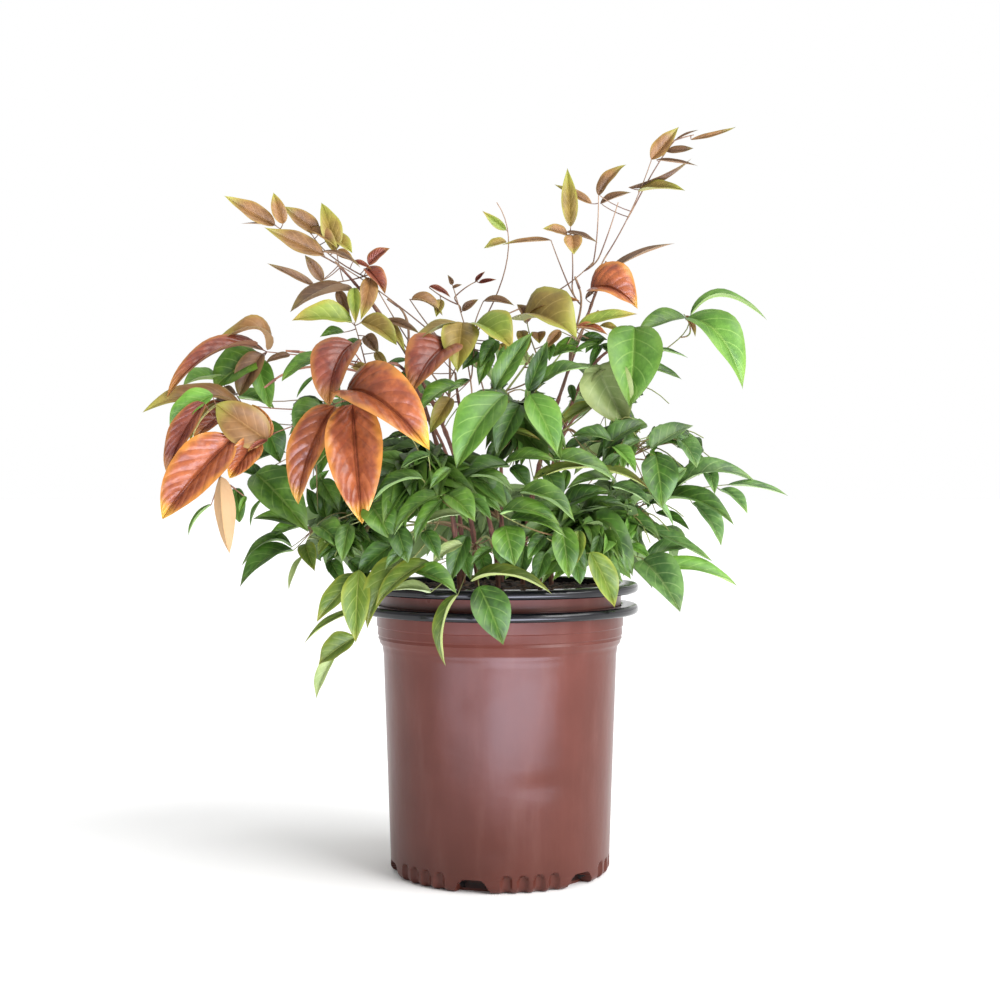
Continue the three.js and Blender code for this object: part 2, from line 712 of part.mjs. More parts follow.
for (const { name, curve, footRadius, tipRadius } of CANE_LIMBS) {
  const limb = limbGeometry(curve, footRadius, tipRadius, LIMB.caneSides, evenShares(LIMB.caneSteps));
  plant.add(piece(name, limb, TINT.cane, ROUGHNESS.limb));
}
for (const { name, curve, footRadius, tipRadius } of BOUGH_LIMBS) {
  const limb = limbGeometry(curve, footRadius, tipRadius, LIMB.boughSides, evenShares(LIMB.boughSteps));
  plant.add(piece(name, limb, TINT.bough, ROUGHNESS.limb));
}
MASSES.forEach((mass, index) => {
  const foliage = toGeometry(massSolid(mass, index));
  plant.add(piece(`foliage_${mass.name}`, foliage, TINT[mass.tint], ROUGHNESS.leaf));
});

export default plant;
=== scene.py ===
"""The looks of a heavenly bamboo in a stack of two nursery pots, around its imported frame.

Everything is in metres in the frame's own axes: +Z up, the origin in the middle of
the outer pot's flat underside, -Y the plant's front. The canes, the leaf stalks and
the sprays of leaflets grow again here by the rule of the solids, and go on to finer
twigs within the same reach. Each random choice comes from a seeded run of numbers.
"""

import itertools
import logging
import math
from collections.abc import Callable, Iterable, Mapping, Sequence
from dataclasses import dataclass, replace
from enum import Enum
from functools import cached_property
from typing import Any

import bpy
import numpy as np
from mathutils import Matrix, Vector, kdtree


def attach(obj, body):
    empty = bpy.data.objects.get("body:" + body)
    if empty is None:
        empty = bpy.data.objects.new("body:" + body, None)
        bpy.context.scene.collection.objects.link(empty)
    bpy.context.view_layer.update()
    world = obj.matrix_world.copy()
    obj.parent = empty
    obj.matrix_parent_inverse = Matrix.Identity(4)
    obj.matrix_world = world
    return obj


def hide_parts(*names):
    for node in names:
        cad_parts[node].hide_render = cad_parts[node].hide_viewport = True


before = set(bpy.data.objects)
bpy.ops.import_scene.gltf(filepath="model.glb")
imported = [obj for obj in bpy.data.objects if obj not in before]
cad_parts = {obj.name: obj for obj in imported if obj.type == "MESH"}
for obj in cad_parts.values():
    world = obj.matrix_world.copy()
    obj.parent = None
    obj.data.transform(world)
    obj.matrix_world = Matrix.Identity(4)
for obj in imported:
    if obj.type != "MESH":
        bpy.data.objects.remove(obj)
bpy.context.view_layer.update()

LOG = logging.getLogger("heavenly_bamboo")
MM = 0.001
UP = np.array([0.0, 0.0, 1.0])
TURN = 2 * math.pi
BODY = "root"
FORM_MAP = "form"  # the UV map that finishes read
BAKE_MAP = "OFBake"  # the UV map with a cell of its own for each leaflet
SHADE = "shade"  # how light each leaflet, twig or chip is: a random tone, and on leaflets also their mass's painted light and shade


# --- small sums


def mm(*lengths: float | Sequence[float]) -> np.ndarray:
    """A place, or rows of places, given in millimetres, in metres."""
    return np.array(lengths, float) * MM


def unit(vectors: np.ndarray) -> np.ndarray:
    """The same directions with a length of one."""
    lengths = np.linalg.norm(vectors, axis=-1, keepdims=True)
    return vectors / np.maximum(lengths, 1e-12)


def nearest(dots: np.ndarray, place: np.ndarray) -> np.ndarray:
    """The dot nearest to a place."""
    return dots[np.argmin(np.linalg.norm(dots - place, axis=1))]


def lerp(low: Any, high: Any, share: Any) -> Any:
    """The number that lies a share of the way from low to high."""
    return low + (high - low) * share


def spokes(count: int) -> np.ndarray:
    """Angles evenly round a circle."""
    return np.arange(count) / count * TURN


def wall_quads(rows: int, columns: int) -> tuple[np.ndarray, np.ndarray, np.ndarray]:
    """The row and column of each quad in a wall of rings, and the quad's corners."""
    row, column = np.divmod(np.arange((rows - 1) * columns), columns)
    low, after = row * columns, (column + 1) % columns
    high = low + columns
    return row, column, np.stack([low + column, low + after, high + after, high + column], axis=1)


def colour(code: str) -> tuple[float, float, float, float]:
    """A linear colour from a hex code such as 7d4f48."""
    channels = (int(code[start:start + 2], 16) / 255 for start in (0, 2, 4))
    red, green, blue = (((c + 0.055) / 1.055) ** 2.4 if c > 0.04045 else c / 12.92 for c in channels)
    return red, green, blue, 1.0


class Draws:
    """A repeatable run of numbers from 0 to 1, the same run as the solids use."""

    STEP, SHIFT, SPAN = 1664525, 1013904223, 2**32

    def __init__(self, seed: int) -> None:
        """Starts the run at a seed."""
        self.state = seed % self.SPAN

    def next(self) -> float:
        """The next number of the run."""
        self.state = (self.state * self.STEP + self.SHIFT) % self.SPAN
        return self.state / self.SPAN

    def between(self, low: float, high: float) -> float:
        """The next number, spread from low to high."""
        return lerp(low, high, self.next())

    def offset(self) -> np.ndarray:
        """A random offset of up to half a unit each way."""
        return np.array([self.next() - 0.5 for _ in "xyz"])

    def pick(self, choices: Sequence[tuple[Any, float]]) -> Any:
        """One of the choices, by their weights."""
        left = self.next() * sum(weight for _, weight in choices)
        for choice, weight in choices:
            left -= weight
            if left <= 0:
                return choice
        return choices[-1][0]


@dataclass(frozen=True)
class Bezier:
    """A Bezier curve of any degree, from its control points."""

    points: np.ndarray

    def at(self, shares: np.ndarray | float) -> np.ndarray:
        """The places at these shares of the curve.

        Args:
            shares: numbers from 0 to 1.

        Returns:
            One row of three coordinates for each share.
        """
        weights = np.atleast_1d(shares)[:, None, None]
        level = np.repeat(self.points[None], len(weights), axis=0)
        while level.shape[1] > 1:
            level = level[:, :-1] * (1 - weights) + level[:, 1:] * weights
        return level[:, 0]

    def ways(self, shares: np.ndarray | float) -> np.ndarray:
        """The curve's directions at these shares."""
        return unit(Bezier(np.diff(self.points, axis=0)).at(shares))

    @cached_property
    def length(self) -> float:
        """The curve's length, by short chords."""
        chords = np.diff(self.at(np.linspace(0, 1, 65)), axis=0)
        return float(np.linalg.norm(chords, axis=1).sum())

    def dotted(self, step: float) -> np.ndarray:
        """Places about a step apart from end to end."""
        return self.at(np.linspace(0, 1, max(2, math.ceil(self.length / step) + 1)))


# --- shader expressions


class Socket:
    """An output of a node. Arithmetic on it adds Math nodes to its graph."""

    def __init__(self, graph: "Graph", output: bpy.types.NodeSocket) -> None:
        """Wraps an output of a node in the graph."""
        self.graph = graph
        self.output = output

    def __add__(self, other: "Value") -> "Socket":
        """This value plus another."""
        return self.graph.math("ADD", self, other)

    def __radd__(self, other: "Value") -> "Socket":
        """Another value plus this one."""
        return self.graph.math("ADD", other, self)

    def __sub__(self, other: "Value") -> "Socket":
        """This value less another."""
        return self.graph.math("SUBTRACT", self, other)

    def __rsub__(self, other: "Value") -> "Socket":
        """Another value less this one."""
        return self.graph.math("SUBTRACT", other, self)

    def __mul__(self, other: "Value") -> "Socket":
        """This value times another."""
        return self.graph.math("MULTIPLY", self, other)

    def __rmul__(self, other: "Value") -> "Socket":
        """Another value times this one."""
        return self.graph.math("MULTIPLY", other, self)

    def __abs__(self) -> "Socket":
        """This value without its sign."""
        return self.graph.math("ABSOLUTE", self)


Value = Socket | float


class Graph:
    """The node graph of one material."""

    def __init__(self, name: str) -> None:
        """Makes an empty material of that name."""
        self.material = bpy.data.materials.new(name)
        self.material.use_nodes = True
        self.tree = self.material.node_tree
        self.tree.nodes.clear()

    def node(
        self,
        kind: str,
        settings: Mapping[str, Any] | None = None,
        inputs: Mapping[str | int, Any] | None = None,
        output: str | int = 0,
    ) -> Socket:
        """Adds a node.

        Args:
            kind: the node's type.
            settings: its properties, set before its sockets.
            inputs: values, colour codes or links for its sockets, by name or number.
            output: which of its outputs to give back.

        Returns:
            The chosen output.
        """
        made = self.tree.nodes.new(kind)
        for name, value in (settings or {}).items():
            setattr(made, name, value)
        for name, value in (inputs or {}).items():
            if isinstance(value, Socket):
                self.tree.links.new(value.output, made.inputs[name])
            else:
                made.inputs[name].default_value = colour(value) if isinstance(value, str) else value
        return Socket(self, made.outputs[output])

    def math(self, operation: str, *terms: Value) -> Socket:
        """A Math node on one or two values."""
        return self.node("ShaderNodeMath", {"operation": operation}, dict(enumerate(terms)))

    def step(self, value: Value, low: float, high: float) -> Socket:
        """A smooth rise from 0 to 1 as the value goes from low to high."""
        inputs = {"Value": value, "From Min": low, "From Max": high}
        return self.node("ShaderNodeMapRange", {"interpolation_type": "SMOOTHSTEP"}, inputs)

    def mix(self, share: Value, first: Any, second: Any) -> Socket:
        """A colour that goes from the first to the second as share goes from 0 to 1."""
        return self.node("ShaderNodeMix", {"data_type": "RGBA"}, {0: share, 6: first, 7: second}, 2)

    def scaled(self, tint: Any, strength: Value) -> Socket:
        """A colour made lighter or darker by a number."""
        return self.node("ShaderNodeVectorMath", {"operation": "SCALE"}, {0: tint, "Scale": strength})

    def form(self) -> tuple[Socket, Socket]:
        """The two coordinates of the form map."""
        place = {"Vector": self.node("ShaderNodeUVMap", {"uv_map": FORM_MAP})}
        return tuple(self.node("ShaderNodeSeparateXYZ", None, place, axis) for axis in "XY")

    def place(self) -> Socket:
        """The place on the object, in metres."""
        return self.node("ShaderNodeTexCoord", output="Object")

    def noise(self, scale: float, detail: float = 2.0, where: Socket | None = None) -> Socket:
        """Soft noise from 0 to 1, over the object's place unless told otherwise."""
        inputs = {"Vector": where or self.place(), "Scale": scale, "Detail": detail}
        return self.node("ShaderNodeTexNoise", None, inputs)

    def shade(self) -> Socket:
        """How light this leaflet or twig is: a random tone, and on leaflets also painted light and shade.
        """
        return self.node("ShaderNodeAttribute", {"attribute_name": SHADE}, output="Fac")

    def bump(self, height: Value, distance: float, strength: float) -> Socket:
        """A normal from a height, in metres at its highest."""
        inputs = {"Strength": strength, "Distance": distance, "Height": height}
        return self.node("ShaderNodeBump", None, inputs)

    def finish(self, **sockets: Any) -> bpy.types.Material:
        """Ends the graph in a Principled shader.

        Args:
            sockets: values, colour codes or links for its sockets, with _ for each space.

        Returns:
            The material.
        """
        inputs = {name.replace("_", " "): value for name, value in sockets.items()}
        shader = self.node("ShaderNodeBsdfPrincipled", None, inputs)
        end = self.tree.nodes.new("ShaderNodeOutputMaterial")
        self.tree.links.new(shader.output, end.inputs["Surface"])
        return self.material


# --- finishes

PATCHES = (0.36, 0.64)  # where two blended noises turn from one colour to the other


@dataclass(frozen=True)
class LeafFinish:
    """A waxy leaflet: its blade, veins, margin and tip, and the paler underside."""

    name: str
    blade: str
    deep: str
    vein: str
    margin: str
    tip: str
    under: str
    margin_share: float = 0.25
    tip_share: float = 0.2
    tip_from: float = 0.7
    roughness: float = 0.4
    quilt: float = 0.45
    veins: float = 6.0
    vein_slant: float = 0.3

    def build(self) -> bpy.types.Material:
        """The leaflet's material."""
        graph = Graph(self.name)
        across_map, along = graph.form()
        beneath = graph.math("GREATER_THAN", across_map, 1.0)
        across = abs(graph.math("FRACT", across_map) * 2.0 - 1.0)
        mottle = graph.noise(90.0, 3.0)
        midrib = 1.0 - graph.step(across, 0.02, 0.09)
        slanted = along - across * self.vein_slant
        wave = graph.math("COSINE", slanted * (TURN * self.veins))
        vein = graph.step(wave, 0.9, 1.0) * (1.0 - graph.step(across, 0.6, 0.9))
        margin = graph.step(across + (mottle - 0.5) * 0.5, 0.66, 1.02)
        tip = graph.step(along + (mottle - 0.5) * 0.12, self.tip_from, 0.98)

        fine = graph.noise(420.0, 3.0)
        upper = graph.mix(graph.step(mottle * 0.7 + fine * 0.3, *PATCHES), self.deep, self.blade)
        upper = graph.mix(vein * 0.3, upper, self.vein)
        upper = graph.mix(margin * self.margin_share, upper, self.margin)
        upper = graph.mix(tip * self.tip_share, upper, self.tip)
        upper = graph.mix(midrib * 0.4, upper, self.vein)
        lower = graph.mix(midrib * 0.5, self.under, self.vein)
        # the shade attribute makes the colour darker or lighter: a random tone, and on leaflets also
        # painted shade and painted light
        base = graph.scaled(graph.mix(beneath, upper, lower), graph.shade())

        pillow = abs(graph.math("SINE", slanted * (math.pi * self.veins)))
        lumps = graph.noise(105.0, 1.0)
        height = fine * 0.15 + lumps * 1.6 + pillow * (1.0 - across) * across * 1.6 - midrib * 0.5
        return graph.finish(
            Base_Color=base,
            Roughness=self.roughness + 0.12 * mottle + 0.2 * beneath,
            Normal=graph.bump(height, self.quilt * MM, 0.6),
            Specular_IOR_Level=0.4,
        )


@dataclass(frozen=True)
class StalkFinish:
    """A leaf stalk or twig, finely ribbed along its length."""

    name: str
    young: str
    old: str
    roughness: float = 0.5
    ribs: float = 5.0

    def build(self) -> bpy.types.Material:
        """The stalk's material."""
        graph = Graph(self.name)
        around, along = graph.form()
        mottle = graph.noise(160.0, 3.0)
        mixed = graph.mix(graph.step(along + (mottle - 0.5) * 0.8, 0.1, 0.9), self.old, self.young)
        ridge = graph.math("COSINE", around * (TURN * self.ribs))
        return graph.finish(
            Base_Color=graph.scaled(mixed, graph.shade()),
            Roughness=self.roughness + 0.15 * mottle,
            Normal=graph.bump(ridge * 0.3 + mottle, 0.2 * MM, 0.5),
        )


@dataclass(frozen=True)
class BarkFinish:
    """The ribbed, flaking bark of a cane."""

    name: str
    ridge: str
    groove: str
    stain: str

    def build(self) -> bpy.types.Material:
        """The bark's material."""
        graph = Graph(self.name)
        around, along = graph.form()
        streaks = graph.node("ShaderNodeCombineXYZ", None, {"X": around * 9.0, "Y": along * 7.0})
        grain = graph.noise(1.6, 5.0, streaks)
        flakes = graph.noise(260.0, 4.0)
        mixed = graph.mix(graph.step(grain * 0.7 + flakes * 0.3, *PATCHES), self.groove, self.ridge)
        mixed = graph.mix(graph.step(flakes, 0.62, 0.75) * 0.6, mixed, self.stain)
        return graph.finish(
            Base_Color=graph.scaled(mixed, graph.shade()),
            Roughness=0.6 + 0.25 * flakes,
            Normal=graph.bump(grain + flakes * 0.5, 0.5 * MM, 0.8),
        )


@dataclass(frozen=True)
class PotFinish:
    """Thin moulded plastic with a soft gloss and faint flow marks."""

    name: str
    body: str
    worn: str
    dust: str
    roughness: float
    relief: float = 0.35
    gloss: float = 0.5

    def build(self) -> bpy.types.Material:
        """The plastic's material."""
        graph = Graph(self.name)
        around, along = graph.form()
        flow = graph.node("ShaderNodeCombineXYZ", None, {"X": around * 14.0, "Y": along * 3.0})
        streak = graph.noise(2.2, 3.0, flow)
        cloud = graph.noise(26.0, 4.0)
        mixed = graph.mix(graph.step(cloud * 0.6 + streak * 0.4, *PATCHES), self.body, self.worn)
        mixed = graph.mix(graph.step(streak, 0.5, 0.8) * 0.08, mixed, self.dust)
        return graph.finish(
            Base_Color=mixed,
            Roughness=self.roughness + 0.08 * cloud,
            Normal=graph.bump(cloud + streak * 0.25, 1.0 * MM, self.relief),
            Specular_IOR_Level=self.gloss,
        )


@dataclass(frozen=True)
class MixFinish:
    """Damp shredded bark: nearly black crumbs with lighter fibres."""

    name: str
    damp: str
    fibre: str

    def build(self) -> bpy.types.Material:
        """The potting mix's material."""
        graph = Graph(self.name)
        lumps = graph.noise(180.0, 6.0)
        crumbs = graph.noise(700.0, 4.0)
        mixed = graph.mix(graph.step(lumps * 0.6 + crumbs * 0.4, 0.42, 0.72), self.damp, self.fibre)
        return graph.finish(
            Base_Color=graph.scaled(mixed, graph.shade()),
            Roughness=0.78 + 0.2 * crumbs,
            Normal=graph.bump(lumps + crumbs * 0.6, 1.2 * MM, 0.9),
        )


@dataclass(frozen=True)
class FloorFinish:
    """A plain pale studio floor."""

    name: str = "studio_floor"
    tint: str = "ffffff"

    def build(self) -> bpy.types.Material:
        """The floor's material."""
        return Graph(self.name).finish(Base_Color=self.tint, Roughness=0.85)


class Tint(Enum):
    """The colours that the sprays of leaflets are dealt."""

    DARK = LeafFinish("leaf_dark", "3c6118", "24400d", "7f9a4c", "507024", "7f8d30", "6f8852")
    GREEN = LeafFinish("leaf_green", "53781f", "325512", "93ab5c", "64822a", "8c9438", "84a062")
    MOSS = LeafFinish("leaf_moss", "587a3a", "375628", "9cb070", "6d8c48", "949a50", "8ca272")
    FERN = LeafFinish("leaf_fern", "627624", "486018", "a5ae5c", "8a8c2c", "a89a30", "a3b06c", 0.5, 0.4)
    BRIGHT = LeafFinish("leaf_bright", "608c32", "4a7424", "9cbc60", "789430", "9aa840", "96b06a", 0.3)
    LIME = LeafFinish("leaf_lime", "7f8e34", "6a7c2c", "b0b860", "9c8c34", "b08440", "b0b970",
                      0.6, 0.5, 0.5)
    PALE = LeafFinish("leaf_pale", "9aa868", "86985a", "b8c490", "a4ac62", "b2b068", "acba8a")
    OLIVE = LeafFinish("leaf_olive", "846f30", "6f5c29", "b39c5c", "8d8c36", "8f9438", "a0a068",
                       0.7, 0.8, 0.4)
    BRONZE = LeafFinish("leaf_bronze", "866036", "6e4e2c", "ac8858", "917a36", "97973a", "a4845c",
                        0.6, 0.8, 0.55)
    PLUM = LeafFinish("leaf_plum", "6e5036", "58402c", "967656", "7f6a3a", "87803c", "8f7458",
                      0.5, 0.45, 0.6)
    COPPER = LeafFinish("leaf_copper", "92502c", "733a25", "6a3424", "b47a2c", "d2a234", "a88058",
                        0.6, 0.8, 0.76, 0.27, 2.2, 8)
    RUST = LeafFinish("leaf_rust", "834430", "643026", "5c2e22", "a06c30", "b98836", "94694f",
                      0.6, 0.5, 0.64, 0.29, 1.9, 8)


class Plain(Enum):
    """The finishes of everything else."""

    STALK_RED = StalkFinish("stalk_red", "94664c", "6f4636")
    STALK_GREEN = StalkFinish("stalk_green", "818a4c", "7c6040")
    STALK_BRONZE = StalkFinish("stalk_bronze", "94765a", "6e5040")
    BARK = BarkFinish("cane_bark", "7d5240", "4c2c23", "9a7c62")
    POT_BROWN = PotFinish("pot_brown", "542a22", "5c3028", "8f756c", 0.25, 0.6, 0.28)
    POT_BLACK = PotFinish("pot_black", "08080c", "0e0e12", "1e1c1e", 0.1, 0.1, 0.45)
    POT_INSIDE = PotFinish("pot_inside", "131214", "1c1a1c", "3c3834", 0.45)
    MIX = MixFinish("bark_mix", "1d1512", "4b392d")
    CHIP = MixFinish("bark_chip", "3a2a20", "6b503c")
    FLOOR = FloorFinish()


class Dresser:
    """Builds each finish once and gives it to every piece that wears it."""

    def __init__(self) -> None:
        """Starts with nothing built."""
        self.built: dict[Enum, bpy.types.Material] = {}

    def material(self, finish: Enum) -> bpy.types.Material:
        """The material of a finish."""
        if finish not in self.built:
            self.built[finish] = finish.value.build()
        return self.built[finish]


DRESSER = Dresser()


# --- meshes


@dataclass(frozen=True)
class Weave:
    """How the corners of a shape are joined into faces.

    Attributes:
        loops: corner numbers, face after face.
        sizes: how many corners each face has.
        form: the place in the form map at each loop.
        cell: the place in the shape's own cell of the bake map at each loop.
    """

    loops: np.ndarray
    sizes: np.ndarray
    form: np.ndarray
    cell: np.ndarray


@dataclass(frozen=True)
class Shape:
    """One closed shape, before it joins a mesh."""

    corners: np.ndarray
    weave: Weave
    finish: Enum
    shade: float = 1.0
    face_finishes: tuple[Enum, ...] = ()


@dataclass(frozen=True)
class Piece:
    """A named mesh that is joined from shapes and rides on the plant's body."""

    name: str
    slot: str
    stands_for: Sequence[str]
    shapes: Sequence[Shape]
    sharp_angle: float = 60.0

    def build(self) -> None:
        """Joins the shapes and puts the piece on its body."""
        mesh = bpy.data.meshes.new(self.name)
        finishes = self._finishes()
        weaves = [shape.weave for shape in self.shapes]
        counts = [len(shape.corners) for shape in self.shapes]
        starts = np.cumsum([0, *counts[:-1]])
        loops = [weave.loops + start for weave, start in zip(weaves, starts, strict=True)]
        sizes = np.concatenate([weave.sizes for weave in weaves])
        mesh.vertices.add(sum(counts))
        mesh.loops.add(int(sizes.sum()))
        mesh.polygons.add(len(sizes))
        self._fill(mesh.vertices, "co", [shape.corners for shape in self.shapes])
        self._fill(mesh.loops, "vertex_index", loops, np.int32)
        self._fill(mesh.polygons, "loop_start", [[0], np.cumsum(sizes)[:-1]], np.int32)
        self._fill(mesh.polygons, "material_index", self._finish_numbers(finishes), np.int32)
        mesh.update(calc_edges=True)
        for name, maps in ((FORM_MAP, [weave.form for weave in weaves]), (BAKE_MAP, self._cells(weaves))):
            self._fill(mesh.uv_layers.new(name=name).data, "uv", maps)
        shades = [np.full(count, shape.shade) for count, shape in zip(counts, self.shapes, strict=True)]
        self._fill(mesh.attributes.new(SHADE, "FLOAT", "POINT").data, "value", shades)
        for finish in finishes:
            mesh.materials.append(DRESSER.material(finish))
        mesh.shade_smooth()
        mesh.set_sharp_from_angle(angle=math.radians(self.sharp_angle))
        made = bpy.data.objects.new(self.name, mesh)
        bpy.context.scene.collection.objects.link(made)
        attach(made, BODY)
        if self.stands_for:
            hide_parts(*self.stands_for)
        LOG.info("%s: %d shapes, %d triangles", self.name, len(self.shapes), int((sizes - 2).sum()))

    @staticmethod
    def _fill(data: Any, name: str, rows: Iterable[Any], kind: type = np.float32) -> None:
        """Writes rows of values, one after another, into every item of a part of the mesh."""
        data.foreach_set(name, np.concatenate(list(rows)).astype(kind).ravel())

    def _finishes(self) -> list[Enum]:
        """Every finish that the shapes wear, in the order they first come."""
        worn = [finish for shape in self.shapes for finish in (shape.face_finishes or (shape.finish,))]
        return list(dict.fromkeys(worn))

    def _finish_numbers(self, finishes: list[Enum]) -> list[Sequence[int]]:
        """The number of each face's finish, shape after shape."""
        numbers = {finish: number for number, finish in enumerate(finishes)}
        return [
            [numbers[finish] for finish in shape.face_finishes]
            or np.full(len(shape.weave.sizes), numbers[shape.finish])
            for shape in self.shapes
        ]

    @staticmethod
    def _cells(weaves: Sequence[Weave]) -> list[np.ndarray]:
        """Each shape's own cell in a square sheet of cells."""
        columns = math.ceil(math.sqrt(len(weaves)))
        return [
            (weave.cell + (number % columns, number // columns)) / columns
            for number, weave in enumerate(weaves)
        ]


class TubeWeaver:
    """Makes closed tubes along curves, with rings that don't twist."""

    SIDE_CELL = (0.03, 0.97, 0.1, 0.9)  # where a tube's wall lies in its cell
    CAP_RADIUS = 0.035

    def __init__(self) -> None:
        """Starts with no faces woven."""
        self.woven: dict[tuple[int, int], Weave] = {}

    def weave(self, rings: int, sides: int) -> Weave:
        """The faces of a tube.

        Args:
            rings: how many rings it has.
            sides: how many corners each ring has.

        Returns:
            The wall's quads, then the foot's and the tip's end faces.
        """
        if (rings, sides) not in self.woven:
            self.woven[rings, sides] = self._weave(rings, sides)
        return self.woven[rings, sides]

    def _weave(self, rings: int, sides: int) -> Weave:
        """Works the faces out once."""
        ring, side, quads = wall_quads(rings, sides)
        around = np.stack([side, side + 1, side + 1, side], axis=1) / sides
        along = np.stack([ring, ring, ring + 1, ring + 1], axis=1) / (rings - 1)
        form = np.stack([around, along], axis=2).reshape(-1, 2)
        low, high, foot, tip = self.SIDE_CELL
        cell = np.stack([lerp(low, high, form[:, 0]), lerp(foot, tip, form[:, 1])], axis=1)
        disc = np.stack([np.cos(spokes(sides)), np.sin(spokes(sides))], axis=1) * self.CAP_RADIUS
        caps = np.concatenate([np.arange(sides)[::-1], (rings - 1) * sides + np.arange(sides)])
        cap_form = np.concatenate([np.tile([0.5, 0.0], (sides, 1)), np.tile([0.5, 1.0], (sides, 1))])
        cap_cell = np.concatenate([disc[::-1] + (0.5, 0.05), disc + (0.5, 0.95)])
        return Weave(
            np.concatenate([quads.ravel(), caps]),
            np.concatenate([np.full(len(quads), 4), [sides, sides]]),
            np.concatenate([form, cap_form]),
            np.concatenate([cell, cap_cell]),
        )

    def tube(
        self,
        curve: Bezier,
        rings: int,
        sides: int,
        radius: Callable[[np.ndarray, np.ndarray], np.ndarray],
        finish: Enum,
        shade: float = 1.0,
    ) -> Shape:
        """A tube along a curve.

        Args:
            curve: its middle line.
            rings: how many rings it has.
            sides: how many corners each ring has.
            radius: its radius, from the share along it and the angle round it.
            finish: what it wears.
            shade: how light it is.

        Returns:
            The closed shape.
        """
        shares = np.linspace(0, 1, rings)
        middles = curve.at(shares)
        ways = curve.ways(shares)
        aside = np.array([1.0, 0.0, 0.0]) if abs(ways[0][2]) > 0.8 else UP
        across = [unit(np.cross(ways[0], aside))]
        for way in ways[1:]:
            across.append(unit(across[-1] - way * (across[-1] @ way)))
        across = np.array(across)
        lift = np.cross(ways, across)
        angle = spokes(sides)
        reach = radius(shares[:, None], angle[None, :])[..., None]
        round_way = (across[:, None] * np.cos(angle)[None, :, None]
                     + lift[:, None] * np.sin(angle)[None, :, None])
        corners = (middles[:, None] + round_way * reach).reshape(-1, 3)
        return Shape(corners, self.weave(rings, sides), finish, shade)


TUBES = TubeWeaver()


def tapered(foot: float, tip: float) -> Callable[[np.ndarray, np.ndarray], np.ndarray]:
    """A radius that goes evenly from the foot's to the tip's."""

    def radius(share: np.ndarray, angle: np.ndarray) -> np.ndarray:
        """The radius at a share of the length, the same all round."""
        return lerp(foot, tip, share) + 0 * angle

    return radius


@dataclass(frozen=True)
class Turned:
    """A closed shape turned about the upright axis, from an outline that starts and ends on it."""

    outline: np.ndarray
    columns: int
    finish: Enum
    row_finishes: tuple[Enum, ...] = ()

    def shape(self, relief: Callable[[np.ndarray, np.ndarray, np.ndarray], tuple]) -> Shape:
        """Turns the outline.

        Args:
            relief: changes the radius and height, from the angle, radius and height of each corner.

        Returns:
            The closed shape.
        """
        inner = self.outline[1:-1]
        rows = len(inner)
        radius = np.repeat(inner[:, :1], self.columns, axis=1)
        height = np.repeat(inner[:, 1:], self.columns, axis=1)
        angles = np.repeat(spokes(self.columns)[None], rows, axis=0)
        radius, height = relief(angles, radius, height)
        ring = np.stack([radius * np.cos(angles), radius * np.sin(angles), height], axis=2)
        poles = [[0, 0, self.outline[0][1]], [0, 0, self.outline[-1][1]]]
        corners = np.concatenate([ring.reshape(-1, 3), poles])
        return Shape(corners, self._weave(rows), self.finish, 1.0, self._face_finishes(rows))

    def _weave(self, rows: int) -> Weave:
        """The quads between the rows and the fans at both ends."""
        count = self.columns
        row, column, quads = wall_quads(rows, count)
        steps = np.linalg.norm(np.diff(self.outline, axis=0), axis=1)
        lengths = np.concatenate([[0], np.cumsum(steps)])
        along = lengths / lengths[-1]
        loops = [quads.ravel()]
        form = [np.stack([
            np.stack([column, column + 1, column + 1, column], axis=1) / count,
            np.stack([along[row + 1], along[row + 1], along[row + 2], along[row + 2]], axis=1),
        ], axis=2).reshape(-1, 2)]
        each = np.arange(count)
        for pole, first, near, far in ((0, 0, 1, 0), (1, (rows - 1) * count, 0, 1)):
            end, edge = (along[-1], along[-2]) if pole else (along[0], along[1])
            middle = np.full(count, rows * count + pole)
            corners = [middle, first + (each + near) % count, first + (each + far) % count]
            loops.append(np.stack(corners, axis=1).ravel())
            around = np.stack([each + 0.5, each + near, each + far], axis=1) / count
            upward = np.tile([end, edge, edge], (count, 1))
            form.append(np.stack([around, upward], axis=2).reshape(-1, 2))
        spots = np.concatenate(form)
        sizes = np.concatenate([np.full(len(quads), 4), np.full(2 * count, 3)])
        return Weave(np.concatenate(loops), sizes, spots, spots * 0.98 + 0.01)

    def _face_finishes(self, rows: int) -> tuple[Enum, ...]:
        """Every face's finish, from the finish of the row under it."""
        if not self.row_finishes:
            return ()
        walls = [self.row_finishes[row + 1] for row in range(rows - 1) for _ in range(self.columns)]
        ends = [self.row_finishes[0]] * self.columns + [self.row_finishes[-1]] * self.columns
        return tuple(walls + ends)


def refined(outline: Sequence[tuple[float, float]], step: float) -> np.ndarray:
    """An outline with points added so that none are further apart than a step."""
    rows = [np.array(outline[0], float)]
    for end in outline[1:]:
        start = rows[-1]
        count = max(1, math.ceil(np.linalg.norm(np.subtract(end, start)) / step))
        rows.extend(start + (np.array(end) - start) * (part / count) for part in range(1, count + 1))
    return np.array(rows)


def arc(middle: tuple[float, float], radius: float, start: float, end: float, steps: int) -> list:
    """Points of an outline round a corner, between two angles in degrees."""
    angles = np.radians(np.linspace(start, end, steps + 1))
    return [(middle[0] + radius * math.cos(a), middle[1] + radius * math.sin(a)) for a in angles]


# --- pot


@dataclass(frozen=True)
class Dent:
    """A shallow push in the thin wall."""

    angle: float
    height: float
    wide: float
    tall: float
    depth: float


